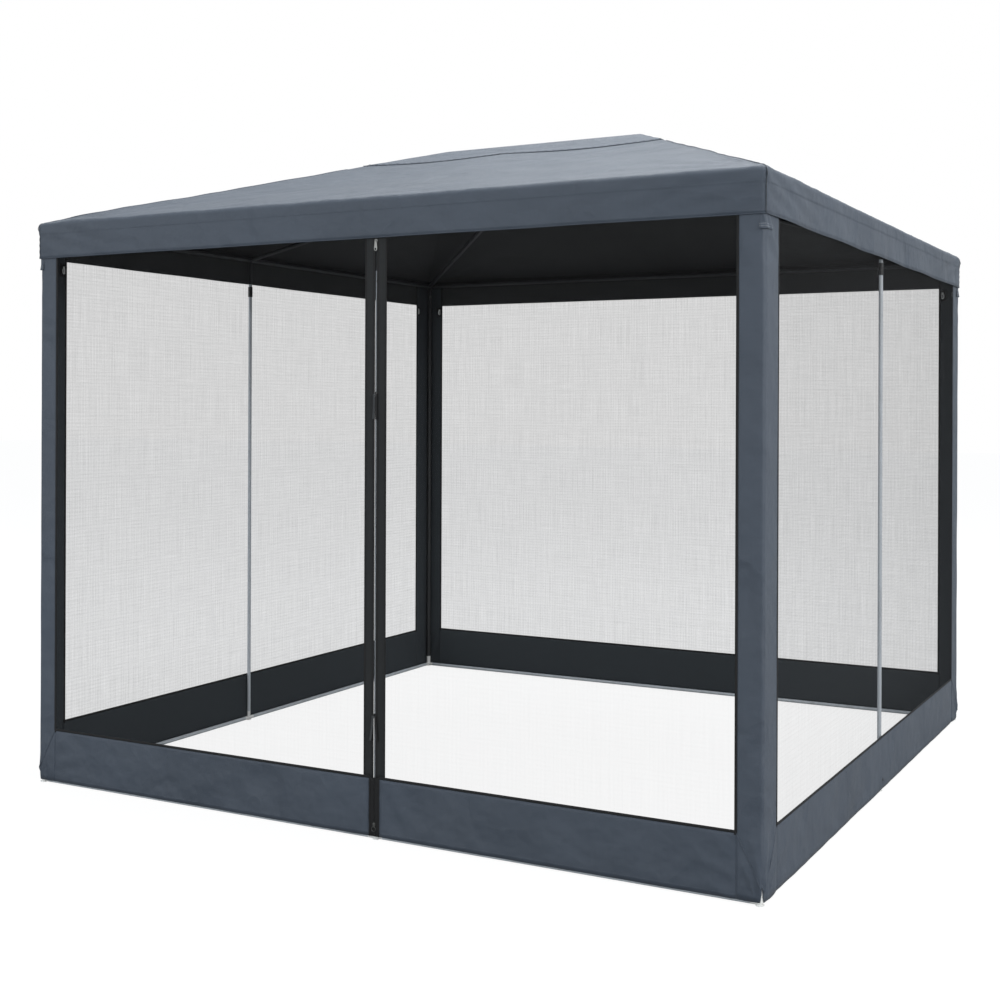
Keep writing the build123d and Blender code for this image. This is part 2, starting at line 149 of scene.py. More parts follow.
def makeFloor():
    half = studio["floorSize"] / 2
    mesh = bpy.data.meshes.new("floor")
    floorCorners = [(-half, -half, 0), (half, -half, 0), (half, half, 0), (-half, half, 0)]
    mesh.from_pydata(floorCorners, [], [(0, 1, 2, 3)])
    floor = bpy.data.objects.new("floor", mesh)
    scene.collection.objects.link(floor)
    material = bpy.data.materials.new("floorWhite")
    material.use_nodes = True
    tree = material.node_tree
    tree.nodes.clear()
    matt = tree.nodes.new("ShaderNodeBsdfDiffuse")
    matt.inputs["Color"].default_value = (*[studio["floorShade"]] * 3, 1)
    glow = tree.nodes.new("ShaderNodeEmission")
    rays = tree.nodes.new("ShaderNodeLightPath")
    glow.inputs["Strength"].default_value = studio["floorGlow"]
    shade = tree.nodes.new("ShaderNodeBsdfDiffuse")
    shade.inputs["Color"].default_value = (*[studio["floorSeenShade"]] * 3, 1)
    both = tree.nodes.new("ShaderNodeAddShader")
    mix = tree.nodes.new("ShaderNodeMixShader")
    out = tree.nodes.new("ShaderNodeOutputMaterial")
    tree.links.new(shade.outputs[0], both.inputs[0])
    tree.links.new(glow.outputs[0], both.inputs[1])
    tree.links.new(rays.outputs["Is Camera Ray"], mix.inputs["Fac"])
    tree.links.new(matt.outputs[0], mix.inputs[1])
    tree.links.new(both.outputs[0], mix.inputs[2])
    tree.links.new(mix.outputs[0], out.inputs["Surface"])
    mesh.materials.append(material)


makeCamera()
makeLamps()
makeBackdrop()
makeFloor()
print("studio ready")


# shared surface effects

effectLook = {
    "slubLong": 6, "slubFine": 320, "slubShade": 0.35,
    "bendScale": 1.7, "bend": 0.25, "ridge": 0.06, "patchScale": 2.3,
    "streaks": {"X": ((210, 5.0, 1), (60, 0.9, 1), 1.5), "Y": ((9.0, 210, 1), (2.5, 60, 1), 1.0)},
    "knotScale": 130.0, "rubScale": 26.0, "rubStart": 0.48,
}


def newGroup(name, inputs, outputs):
    tree = bpy.data.node_groups.new(name, "ShaderNodeTree")
    for label, value in inputs.items():
        kind = "NodeSocketVector" if value is None else "NodeSocketFloat"
        socket = tree.interface.new_socket(label, in_out="INPUT", socket_type=kind)
        if value is not None:
            socket.default_value = value
    for label in outputs:
        tree.interface.new_socket(label, in_out="OUTPUT", socket_type="NodeSocketFloat")
    return tree, tree.nodes.new("NodeGroupInput"), tree.nodes.new("NodeGroupOutput")


def mathNode(tree, operation, *values):  # each value is a number or another node's socket
    node = tree.nodes.new("ShaderNodeMath")
    node.operation = operation
    for index, value in enumerate(values):
        if isinstance(value, bpy.types.NodeSocket):
            tree.links.new(value, node.inputs[index])
        else:
            node.inputs[index].default_value = value
    return node.outputs[0]


def noiseNode(tree, vector, scale, detail=2.0):
    node = tree.nodes.new("ShaderNodeTexNoise")
    node.inputs["Detail"].default_value = detail
    tree.links.new(vector, node.inputs["Vector"])
    if isinstance(scale, bpy.types.NodeSocket):
        tree.links.new(scale, node.inputs["Scale"])
    else:
        node.inputs["Scale"].default_value = scale
    return node.outputs["Fac"]


def stretched(tree, vector, scale):
    node = tree.nodes.new("ShaderNodeMapping")
    node.inputs["Scale"].default_value = scale
    tree.links.new(vector, node.inputs["Vector"])
    return node.outputs["Vector"]


def makeWeave():  # plain weave: warp over weft, with thicker slubs here and there
    inputs = {"Cloth": None, "Threads": 700.0, "Slub": 0.4}
    tree, start, end = newGroup("clothWeave", inputs, ("Height", "Shade"))
    cloth = start.outputs["Cloth"]
    parts = tree.nodes.new("ShaderNodeSeparateXYZ")
    tree.links.new(cloth, parts.inputs[0])
    waves = []
    for axis in ("X", "Y"):
        turn = mathNode(tree, "MULTIPLY", parts.outputs[axis], start.outputs["Threads"])
        waves.append(mathNode(tree, "SINE", mathNode(tree, "MULTIPLY", turn, 2 * math.pi)))
    weave = mathNode(tree, "MULTIPLY", waves[0], waves[1])
    long, fine = effectLook["slubLong"], effectLook["slubFine"]
    warpSlub = noiseNode(tree, stretched(tree, cloth, (long, fine, 1)), 1.0)
    weftSlub = noiseNode(tree, stretched(tree, cloth, (fine, long, 1)), 1.0)
    slub = mathNode(tree, "ADD", warpSlub, weftSlub)
    slub = mathNode(tree, "MULTIPLY", mathNode(tree, "SUBTRACT", slub, 1.0), start.outputs["Slub"])
    height = mathNode(tree, "ADD", mathNode(tree, "MULTIPLY", weave, 0.5), slub)
    shade = mathNode(tree, "MULTIPLY", slub, effectLook["slubShade"])
    tree.links.new(height, end.inputs["Height"])
    tree.links.new(mathNode(tree, "ADD", 1.0, shade), end.inputs["Shade"])
    return tree


def makeCrease():  # soft creases left by folding, and small puckers between them
    inputs = {"Place": None, "Fold Size": 5.0, "Pucker": 0.4}
    tree, start, end = newGroup("clothCrease", inputs, ("Height", "Patch"))
    where, foldSize = start.outputs["Place"], start.outputs["Fold Size"]
    bent = tree.nodes.new("ShaderNodeTexNoise")
    bent.inputs["Scale"].default_value = effectLook["bendScale"]
    tree.links.new(where, bent.inputs["Vector"])
    moved = tree.nodes.new("ShaderNodeVectorMath")
    moved.operation = "MULTIPLY_ADD"
    moved.inputs[1].default_value = [effectLook["bend"]] * 3
    tree.links.new(bent.outputs["Color"], moved.inputs[0])
    tree.links.new(where, moved.inputs[2])
    broad = noiseNode(tree, moved.outputs[0], foldSize, 1.8)
    slope = mathNode(tree, "ABSOLUTE", mathNode(tree, "MULTIPLY_ADD", broad, 6.0, -3.0))
    ridge = mathNode(tree, "SUBTRACT", 1.0, slope)
    ridge = mathNode(tree, "POWER", mathNode(tree, "MAXIMUM", ridge, 0.0), 2.0)
    small = noiseNode(tree, where, mathNode(tree, "MULTIPLY", foldSize, 6.0), 1.0)
    height = mathNode(tree, "ADD", broad, mathNode(tree, "MULTIPLY", ridge, effectLook["ridge"]))
    height = mathNode(tree, "ADD", height, mathNode(tree, "MULTIPLY", small, start.outputs["Pucker"]))
    tree.links.new(height, end.inputs["Height"])
    tree.links.new(noiseNode(tree, where, effectLook["patchScale"], 4.0), end.inputs["Patch"])
    return tree


def makeThreads():  # open insect mesh: how much of the surface the threads cover
    inputs = {"Cloth": None, "Cells": 46.0, "Cover": 0.2, "Uneven": 0.5}
    tree, start, end = newGroup("openThreads", inputs, ("Cover", "Shade"))
    cloth = start.outputs["Cloth"]
    parts = tree.nodes.new("ShaderNodeSeparateXYZ")
    tree.links.new(cloth, parts.inputs[0])
    total = 0.0
    for axis, (fine, broad, reach) in effectLook["streaks"].items():
        cells = mathNode(tree, "MULTIPLY", parts.outputs[axis], start.outputs["Cells"])
        wave = mathNode(tree, "SINE", mathNode(tree, "MULTIPLY", cells, 2 * math.pi))
        grid = mathNode(tree, "POWER", mathNode(tree, "MULTIPLY_ADD", wave, 0.5, 0.5), 3.0)
        streak = noiseNode(tree, stretched(tree, cloth, fine), 1.0, 2.0)
        band = noiseNode(tree, stretched(tree, cloth, broad), 1.0, 1.0)
        one = mathNode(tree, "MULTIPLY_ADD", grid, 0.24, -0.08)
        one = mathNode(tree, "ADD", one, mathNode(tree, "MULTIPLY_ADD", streak, reach, -reach / 2))
        one = mathNode(tree, "ADD", one, mathNode(tree, "MULTIPLY_ADD", band, 0.4, -0.2))
        total = mathNode(tree, "ADD", one, total)
    knots = noiseNode(tree, cloth, effectLook["knotScale"], 1.0)
    total = mathNode(tree, "ADD", total, mathNode(tree, "MULTIPLY_ADD", knots, 0.7, -0.35))
    uneven = mathNode(tree, "MULTIPLY_ADD", total, start.outputs["Uneven"], 1.0)
    cover = mathNode(tree, "MULTIPLY", uneven, start.outputs["Cover"])
    tree.links.new(cover, end.inputs["Cover"])
    tree.links.new(noiseNode(tree, cloth, 3.0, 3.0), end.inputs["Shade"])
    return tree


def makeGrain():  # fine grain of powder coat or moulded plastic, and rubbed patches
    inputs = {"Place": None, "Grain": 900.0, "Rub": 0.5}
    tree, start, end = newGroup("coatGrain", inputs, ("Height", "Worn"))
    where = start.outputs["Place"]
    fine = noiseNode(tree, where, start.outputs["Grain"], 2.0)
    rub = noiseNode(tree, stretched(tree, where, (1, 1, 0.25)), effectLook["rubScale"], 5.0)
    above = mathNode(tree, "SUBTRACT", rub, effectLook["rubStart"])
    worn = mathNode(tree, "MULTIPLY", above, mathNode(tree, "MULTIPLY", start.outputs["Rub"], 5.0))
    clamped = mathNode(tree, "MINIMUM", mathNode(tree, "MAXIMUM", worn, 0.0), 1.0)
    tree.links.new(fine, end.inputs["Height"])
    tree.links.new(clamped, end.inputs["Worn"])
    return tree


weaveGroup, creaseGroup, threadGroup, grainGroup = makeWeave(), makeCrease(), makeThreads(), makeGrain()


# materials

def tint(red, green, blue):  # from 0-255 values to the linear ones that the materials take
    shares = [c / 255 for c in (red, green, blue)]
    return tuple(c / 12.92 if c < 0.0404 else ((c + 0.055) / 1.055) ** 2.4 for c in shares)


def newMaterial(name, colour, roughness, **fixed):
    material = bpy.data.materials.new(name)
    material.use_nodes = True
    tree = material.node_tree
    shader = tree.nodes["Principled BSDF"]
    shader.inputs["Base Color"].default_value = (*colour, 1)
    shader.inputs["Roughness"].default_value = roughness
    for label, value in fixed.items():
        shader.inputs[label].default_value = value
    return material, tree, shader


def place(tree, group, **values):
    node = tree.nodes.new("ShaderNodeGroup")
    node.node_tree = group
    for label, value in values.items():
        node.inputs[label.replace("_", " ")].default_value = value
    where = tree.nodes.new("ShaderNodeTexCoord")
    first = "Cloth" if "Cloth" in node.inputs else "Place"
    tree.links.new(where.outputs["UV" if first == "Cloth" else "Object"], node.inputs[first])
    return node


def shaded(tree, colour, light, dark, mask):  # runs between a darker and a lighter shade of the colour
    ramp = tree.nodes.new("ShaderNodeMix")
    ramp.data_type = "RGBA"
    ramp.inputs["A"].default_value = (*[c * dark for c in colour], 1)
    ramp.inputs["B"].default_value = (*[c * light for c in colour], 1)
    tree.links.new(mask, ramp.inputs["Factor"])
    return ramp.outputs["Result"]


def bump(tree, height, distance, below=None):
    node = tree.nodes.new("ShaderNodeBump")
    node.inputs["Distance"].default_value = distance
    tree.links.new(height, node.inputs["Height"])
    if below is not None:
        tree.links.new(below, node.inputs["Normal"])
    return node.outputs["Normal"]


def clothMaterial(name, colour, look):
    material, tree, shader = newMaterial(name, colour, look["roughness"])
    shader.inputs["Sheen Weight"].default_value = look["sheen"]
    shader.inputs["Sheen Roughness"].default_value = 0.45
    weave = place(tree, weaveGroup, Threads=look["threads"], Slub=look["slub"])
    crease = place(tree, creaseGroup, Fold_Size=look["foldSize"], Pucker=look["pucker"])
    patchy = shaded(tree, colour, 1 + look["fade"], 1 - look["fade"], crease.outputs["Patch"])
    threads = tree.nodes.new("ShaderNodeVectorMath")
    threads.operation = "SCALE"
    tree.links.new(patchy, threads.inputs[0])
    tree.links.new(weave.outputs["Shade"], threads.inputs["Scale"])
    tree.links.new(threads.outputs[0], shader.inputs["Base Color"])
    rough = mathNode(tree, "MULTIPLY_ADD", crease.outputs["Patch"], 0.16, look["roughness"] - 0.08)
    tree.links.new(rough, shader.inputs["Roughness"])
    soft = bump(tree, crease.outputs["Height"], look["creaseDepth"])
    tree.links.new(bump(tree, weave.outputs["Height"], look["weaveDepth"], soft), shader.inputs["Normal"])
    return material


def meshMaterial(name, look):
    material, tree, shader = newMaterial(name, look["litOutside"], 0.7)
    outer, inner = [
        place(tree, threadGroup, Cover=look[cover], Cells=look["cells"], Uneven=look["uneven"])
        for cover in ("litOuterCover", "shadedInnerCover")
    ]
    # painted light and shade: faces seen from outside the tent get sparse threads that look clear, as if lit,
    # and faces seen from inside get denser, greyer threads, as if in the canopy's shade
    sideOf = tree.nodes.new("ShaderNodeNewGeometry")
    slant = tree.nodes.new("ShaderNodeLayerWeight")
    straight = mathNode(tree, "MAXIMUM", mathNode(tree, "SUBTRACT", 1.0, slant.outputs["Facing"]), 0.2)
    thinner = mathNode(tree, "POWER", straight, look["slant"])
    denser = mathNode(tree, "DIVIDE", outer.outputs["Cover"], thinner)  # more cover at a glancing angle
    cover = tree.nodes.new("ShaderNodeMix")
    tree.links.new(sideOf.outputs["Backfacing"], cover.inputs["Factor"])
    tree.links.new(denser, cover.inputs["A"])
    tree.links.new(inner.outputs["Cover"], cover.inputs["B"])
    tree.links.new(cover.outputs["Result"], shader.inputs["Alpha"])
    litOutside = shaded(tree, look["litOutside"], 1.08, 0.92, outer.outputs["Shade"])
    inside = shaded(tree, look["inside"], 1.12, 0.88, inner.outputs["Shade"])
    colour = tree.nodes.new("ShaderNodeMix")
    colour.data_type = "RGBA"
    tree.links.new(sideOf.outputs["Backfacing"], colour.inputs["Factor"])
    tree.links.new(litOutside, colour.inputs["A"])
    tree.links.new(inside, colour.inputs["B"])
    tree.links.new(colour.outputs["Result"], shader.inputs["Base Color"])
    return material


def coatMaterial(name, colour, roughness, worn, grain=900.0, rub=0.4, depth=0.00004, **fixed):
    material, tree, shader = newMaterial(name, colour, roughness, **fixed)
    skin = place(tree, grainGroup, Grain=grain, Rub=rub)
    mixed = tree.nodes.new("ShaderNodeMix")
    mixed.data_type = "RGBA"
    mixed.inputs["A"].default_value = (*colour, 1)
    mixed.inputs["B"].default_value = (*worn, 1)
    tree.links.new(skin.outputs["Worn"], mixed.inputs["Factor"])
    tree.links.new(mixed.outputs["Result"], shader.inputs["Base Color"])
    rough = mathNode(tree, "MULTIPLY_ADD", skin.outputs["Worn"], 0.14, roughness)
    tree.links.new(rough, shader.inputs["Roughness"])
    tree.links.new(bump(tree, skin.outputs["Height"], depth), shader.inputs["Normal"])
    return material


coated = {
    "roughness": 0.52, "sheen": 0.08, "threads": 620.0, "slub": 0.35, "foldSize": 3.6, "pucker": 0.11,
    "fade": 0.18, "creaseDepth": 0.036, "weaveDepth": 0.00024,
}
# painted shade: the roof's underside and the walls' inner faces take darker copies of the slate cloth, near
# black under the roof
shadedInsideLook = {**coated, "roughness": 0.75, "sheen": 0.02, "slub": 0.5, "creaseDepth": 0.008, "fade": 0.16}
tape = {**coated, "roughness": 0.78, "sheen": 0.01, "threads": 900.0, "foldSize": 14.0, "creaseDepth": 0.002}
cloths = {
    "slateCloth": ((61, 70, 82), coated),
    "roofShadedUnderside": ((25, 25, 26), shadedInsideLook),
    # painted shade on the walls' inner faces; the same colour also marks the valance's dark corner seams
    "wallLining": ((47, 53, 58), shadedInsideLook),
    "blackBinding": ((9, 9, 10), tape),
    "charcoalBand": ((23, 25, 26), {**tape, "creaseDepth": 0.004}),
    "ribbonGrey": ((52, 54, 56), tape),
}
# painted shade: the mesh's inner faces are drawn denser and greyer than its outer faces
netting = {
    "litOutside": tint(46, 46, 47), "inside": tint(84, 85, 86),
    "litOuterCover": 0.055, "shadedInnerCover": 0.315, "cells": 66.0, "uneven": 0.42, "slant": 0.8,
}
coats = {  # colour, roughness, the colour where it is rubbed, and what differs from the usual coat
    "greyTube": ((200, 206, 212), 0.34, (172, 176, 180), {}),
    # painted shade: the corner posts, eave tubes, rafters and ridge tube take this dark copy of the grey
    # steel
    "tubeInShade": ((46, 47, 49), 0.45, (66, 67, 68), {}),
    "darkFitting": ((38, 39, 41), 0.42, (60, 61, 62), {}),
    "whiteMoulding": ((242, 242, 240), 0.38, (214, 213, 210), {"grain": 1400.0}),
    "blackMoulding": ((22, 22, 23), 0.42, (42, 42, 43), {"grain": 1400.0}),
    "nickel": ((112, 112, 110), 0.32, (84, 83, 81), {"rub": 0.6, "depth": 0.00001, "Metallic": 1.0}),
    "blackEnamel": ((20, 20, 21), 0.28, (86, 86, 86), {"rub": 0.25, "depth": 0.00001}),
    "seamThread": ((92, 101, 111), 0.6, (112, 120, 130), {"grain": 3000.0}),
    "whiteThread": ((210, 214, 218), 0.6, (180, 184, 188), {"grain": 3000.0}),
    "darkThread": ((40, 42, 44), 0.6, (60, 62, 64), {"grain": 3000.0}),
    "zipTeeth": ((26, 26, 27), 0.35, (50, 50, 51), {"grain": 2000.0}),
}
finishes = {name: clothMaterial(name, tint(*colour), look) for name, (colour, look) in cloths.items()}
finishes["insectMesh"] = meshMaterial("insectMesh", netting)
for name, (colour, roughness, worn, extra) in coats.items():
    finishes[name] = coatMaterial(name, tint(*colour), roughness, tint(*worn), **extra)
print("materials ready:", len(finishes))


# mesh helpers

def addPiece(mesh, body, nodes=(), materials=()):
    item = bpy.data.objects.new(mesh.name, mesh)
    scene.collection.objects.link(item)
    for name in materials:
        mesh.materials.append(finishes[name])
    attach(item, body)
    if nodes:
        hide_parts(*nodes)
    return item


def gridMesh(name, grids, smooth=True):
    work = bmesh.new()
    layer = work.loops.layers.uv.new("cloth")
    for points, flats in grids:
        rows = [[work.verts.new(p) for p in line] for line in points]
        for r in range(len(rows) - 1):
            for c in range(len(rows[0]) - 1):
                ring = ((r, c), (r + 1, c), (r + 1, c + 1), (r, c + 1))
                face = work.faces.new([rows[i][j] for i, j in ring])
                face.smooth = smooth
                for loop, (i, j) in zip(face.loops, ring):
                    loop[layer].uv = flats[i][j]
    bmesh.ops.remove_doubles(work, verts=work.verts, dist=1e-5)
    bmesh.ops.dissolve_degenerate(work, edges=work.edges, dist=1e-6)
    mesh = bpy.data.meshes.new(name)
    work.to_mesh(mesh)
    work.free()
    return mesh


def thicken(item, thickness, innerShadeSlot=1):
    shell = item.modifiers.new("thickness", "SOLIDIFY")
    shell.thickness = thickness
    shell.offset = -1.0
    # the inner faces take a later slot, which on the roof and walls holds a darker, painted-shade copy of the
    # cloth
    shell.material_offset = innerShadeSlot


def sweep(work, path, normal, section, closedPath=False, materialIndex=0):
    rings = []
    count = len(path)
    layer = work.loops.layers.uv.verify()
    travelled = 0.0
    lengths = []
    for i, point in enumerate(path):
        before = path[i - 1] if i or closedPath else point
        after = path[(i + 1) % count] if i < count - 1 or closedPath else point
        side = (after - before).normalized().cross(normal).normalized()
        rings.append([work.verts.new(point + side * a + normal * b) for a, b in section])
        travelled += (point - path[i - 1]).length if i else 0.0
        lengths.append(travelled)
    faces = []
    size = len(section)
    for i in range(count if closedPath else count - 1):
        after = (i + 1) % count
        a, b = rings[i], rings[after]
        for k in range(size):
            face = work.faces.new([a[k], a[(k + 1) % size], b[(k + 1) % size], b[k]])
            for loop, (step, ahead) in zip(face.loops, ((0, 0), (1, 0), (1, 1), (0, 1))):
                across = section[(k + step) % size]
                loop[layer].uv = (across[0] + across[1], lengths[after] if ahead else lengths[i])
            faces.append(face)
    if not closedPath:
        faces += [work.faces.new(rings[0][::-1]), work.faces.new(rings[-1])]
    for face in faces:
        face.smooth = True
        face.material_index = materialIndex
    bmesh.ops.recalc_face_normals(work, faces=faces)


def finishMesh(work, name):
    mesh = bpy.data.meshes.new(name)
    work.to_mesh(mesh)
    work.free()
    return mesh


def roundSection(radius, count=8, squeeze=1.0):
    return [(radius * math.cos(2 * math.pi * k / count), squeeze * radius * math.sin(2 * math.pi * k / count))
            for k in range(count)]


def tapeSection(width, thickness):  # a folded tape: flat faces with soft edges
    half, thin = width / 2, thickness / 2
    edge = min(half, thin) * 0.6
    return [(half, thin - edge), (half - edge, thin), (-half + edge, thin), (-half, thin - edge),
            (-half, -thin + edge), (-half + edge, -thin), (half - edge, -thin), (half, -thin + edge)]


def wander(point, size, seed):
    return noise.noise(Vector((point.x / size + seed, point.y / size - seed, point.z / size + 2 * seed)))


def spread(low, high, count, crowd=0.35):  # even steps that crowd a little towards both ends
    values = []
    for i in range(count + 1):
        v = 2 * i / count - 1
        v = (1 - crowd) * v + crowd * math.sin(math.pi * v / 2)
        values.append(low + (high - low) * (v + 1) / 2)
    return values


def wallPoint(side, along, out, z):
    return sides[side][0] * along + sides[side][1] * out + up * z


def wallSpan(node, side):  # start and end along the wall, bottom, top, and how far out the outer face is
    low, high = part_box(node)
    direction, outward = sides[side]
    ends = sorted((direction.dot(low), direction.dot(high)))
    return ends[0], ends[1], low.z, high.z, max(outward.dot(low), outward.dot(high))


# stitches and zip teeth

def makeRowTree():  # one small round shape at each step along a seam, each a little larger or smaller
    tree = bpy.data.node_groups.new("rowAlongSeam", "GeometryNodeTree")
    face = tree.interface
    face.new_socket("Seam", in_out="INPUT", socket_type="NodeSocketGeometry")
    defaults = {"Pitch": 0.007, "Length": 0.0045, "Width": 0.001, "Rise": 0.0008, "Uneven": 0.1}
    for label, value in defaults.items():
        socket = face.new_socket(label, in_out="INPUT", socket_type="NodeSocketFloat")
        socket.default_value = value
    face.new_socket("Finish", in_out="INPUT", socket_type="NodeSocketMaterial")
    face.new_socket("Row", in_out="OUTPUT", socket_type="NodeSocketGeometry")
    new, link = tree.nodes.new, tree.links.new
    start, end = new("NodeGroupInput"), new("NodeGroupOutput")
    line, steps = new("GeometryNodeMeshToCurve"), new("GeometryNodeResampleCurve")
    steps.mode = "LENGTH"
    shape = new("GeometryNodeMeshIcoSphere")
    shape.inputs["Radius"].default_value = 0.5
    tangent, turn = new("GeometryNodeInputTangent"), new("FunctionNodeAlignRotationToVector")
    turn.axis = "X"
    size, grow = new("ShaderNodeCombineXYZ"), new("ShaderNodeVectorMath")
    grow.operation = "SCALE"
    chance = new("FunctionNodeRandomValue")
    chance.inputs["Seed"].default_value = 7
    low, high = new("ShaderNodeMath"), new("ShaderNodeMath")
    low.operation, high.operation = "SUBTRACT", "ADD"
    many, real = new("GeometryNodeInstanceOnPoints"), new("GeometryNodeRealizeInstances")
    finish = new("GeometryNodeSetMaterial")
    link(start.outputs["Seam"], line.inputs["Mesh"])
    link(line.outputs["Curve"], steps.inputs["Curve"])
    link(start.outputs["Pitch"], steps.inputs["Length"])
    link(steps.outputs["Curve"], many.inputs["Points"])
    link(shape.outputs["Mesh"], many.inputs["Instance"])
    link(tangent.outputs[0], turn.inputs["Vector"])
    link(turn.outputs[0], many.inputs["Rotation"])
    for label, axis in (("Length", "X"), ("Width", "Y"), ("Rise", "Z")):
        link(start.outputs[label], size.inputs[axis])
    for node in (low, high):
        node.inputs[0].default_value = 1.0
        link(start.outputs["Uneven"], node.inputs[1])
    scalars = [s for s in chance.inputs if s.type == "VALUE"]
    link(low.outputs[0], scalars[0])
    link(high.outputs[0], scalars[1])
    link([s for s in chance.outputs if s.type == "VALUE"][0], grow.inputs["Scale"])
    link(size.outputs[0], grow.inputs[0])
    link(grow.outputs[0], many.inputs["Scale"])
    link(many.outputs[0], real.inputs[0])
    link(real.outputs[0], finish.inputs["Geometry"])
    link(start.outputs["Finish"], finish.inputs["Material"])
    link(finish.outputs[0], end.inputs["Row"])
    return tree


rowTree = makeRowTree()
thread = {"width": 0.0011, "rise": 0.0009}  # of every sewn seam but the ridge cap's and the patches'


def makeRow(name, paths, body, slotName, finish, **sizes):  # stitches or teeth along each path, as one mesh
    seam = bpy.data.meshes.new(name + "Seam")
    verts, edges = [], []
    for path in paths:
        edges += [(len(verts) + i, len(verts) + i + 1) for i in range(len(path) - 1)]
        verts += path
    seam.from_pydata(verts, edges, [])
    carrier = bpy.data.objects.new(name + "Seam", seam)
    scene.collection.objects.link(carrier)
    modifier = carrier.modifiers.new("row", "NODES")
    modifier.node_group = rowTree
    keys = {i.name: i.identifier for i in rowTree.interface.items_tree}
    for label, value in sizes.items():
        modifier[keys[label.capitalize()]] = value
    modifier[keys["Finish"]] = finishes[finish]
    bpy.context.view_layer.update()
    finished = carrier.evaluated_get(bpy.context.evaluated_depsgraph_get())
    mesh = bpy.data.meshes.new_from_object(finished)
    mesh.name = name
    mesh.materials.clear()
    carrier.modifiers.remove(modifier)
    bpy.data.objects.remove(carrier)
    return addPiece(mesh, body, (), (finish,))


# roof: one sheet over the ridge, the eaves and down the valance

roofLook = {
    "columns": 104, "roofRows": 46, "foldSteps": 6, "valanceRows": 9, "rowCrowd": 0.10,
    "ridgeHeight": 2.670, "ridgeHalf": 0.448, "valanceDeep": 0.143, "slopeLength": 1.5, "thickness": 0.0010,
    "foldRadius": 0.020, "cornerRadius": 0.010, "ridgeRadius": 0.010,
    "sag": 0.010, "slack": 0.0035, "hipPucker": 0.0007, "hipReach": 0.055, "eavePucker": 0.0012,
    "eaveReach": 0.10, "fan": 0.0034, "cornerFold": 0.0048,
    "drape": 0.0034, "valanceSlack": 0.0012, "valanceFold": 0.0052, "valancePucker": 0.0006,
    "cornerBunch": 0.0060, "seamDrop": 0.041, "hemRise": 0.012,
}
roofLow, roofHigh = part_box("roof_cover")
halfPlan = roofHigh.x
eaveZ = roofLow.z + roofLook["valanceDeep"]
ridgeZ = roofLook["ridgeHeight"]
lastRoofRow = roofLook["roofRows"] + roofLook["foldSteps"] + roofLook["valanceRows"]


def planPoint(side, u):  # the roof's outline with rounded corners, u from -1 to 1 along one side
    direction, outward = sides[side]
    radius = roofLook["cornerRadius"]
    flat = halfPlan - radius
    along = u * halfPlan
    if abs(along) <= flat:
        return direction * along + outward * halfPlan, outward.copy()
    bend = (abs(along) - flat) / radius * math.pi / 4
    sign = 1 if along > 0 else -1
    way = direction * (sign * math.sin(bend)) + outward * math.cos(bend)
    return direction * (sign * flat) + outward * flat + way * radius, way


def ridgePoint(side, u):
    if side in ("front", "back"):
        return sides[side][0] * (u * roofLook["ridgeHalf"]) + up * ridgeZ
    x = roofLook["ridgeHalf"] * (1 if side == "right" else -1)
    return Vector((x, 0, ridgeZ))


def roofRipple(point, u, t):  # upward move of the roof cloth, mostly a sag
    edge = max(0.0, 1 - abs(u))
    belly = math.sin(math.pi * min(1.0, t)) * math.sin(math.pi * min(1.0, edge)) ** 0.7
    move = -roofLook["sag"] * belly * (0.75 + 0.5 * abs(math.sin(math.pi * u)))
    nearHip = math.exp(-edge * halfPlan * max(t, 0.15) / roofLook["hipReach"])
    move += roofLook["hipPucker"] * nearHip * math.sin(t * 62 + 3 * wander(point, 0.3, 3.1))
    fromEave = (1 - t) * roofLook["slopeLength"]
    nearEave = math.exp(-fromEave / roofLook["eaveReach"])
    move += roofLook["eavePucker"] * nearEave * wander(point, 0.035, 5.7) * 2
    fan = math.exp(-(edge * halfPlan) / 0.22) * math.exp(-fromEave / 0.45)
    move += roofLook["fan"] * fan * math.sin(34 * edge * (1.2 - t) + 4 * wander(point, 0.25, 8.8))
    move += roofLook["slack"] * wander(point, 0.42, 1.3) * math.sin(math.pi * t)
    across = edge * halfPlan * max(t, 0.2)
    reach = math.hypot(fromEave, across)  # folds that spread over the roof from each corner
    spreading = math.sin(13 * math.atan2(fromEave, across + 1e-4) + 1.5 * wander(point, 0.3, 2.9))
    move += roofLook["cornerFold"] * spreading * math.exp(-reach / 0.5) * min(1.0, reach / 0.12)
    return move


def valanceRipple(point, u, depth):  # outward move of the valance, depth from 0 at the fold to 1 at the hem
    edge = (1 - abs(u)) * halfPlan
    calm = 1 - math.exp(-edge / 0.10)
    wave = math.sin(point.dot(Vector((1, 1, 0))) * 9.5 + 2.6 * wander(point, 0.8, 2.2))
    move = roofLook["drape"] * depth * calm * wave
    move += roofLook["valanceSlack"] * wander(point, 0.16, 6.4) * (0.4 + depth)
    folds = math.sin(13 * depth - 24 * edge + 1.5 * wander(point, 0.25, 7.3))
    held = math.sin(math.pi * min(1.0, 0.15 + 0.85 * depth))
    move += roofLook["valanceFold"] * math.exp(-edge / 0.32) * folds * calm * held
    pucker = math.exp(-edge / 0.022)
    move += roofLook["valancePucker"] * pucker * math.sin(depth * 34 + 1.5 * wander(point, 0.1, 9.0))
    bunch = math.exp(-edge / 0.028) * math.exp(-((depth - 0.06) / 0.12) ** 2)
    return move + roofLook["cornerBunch"] * bunch


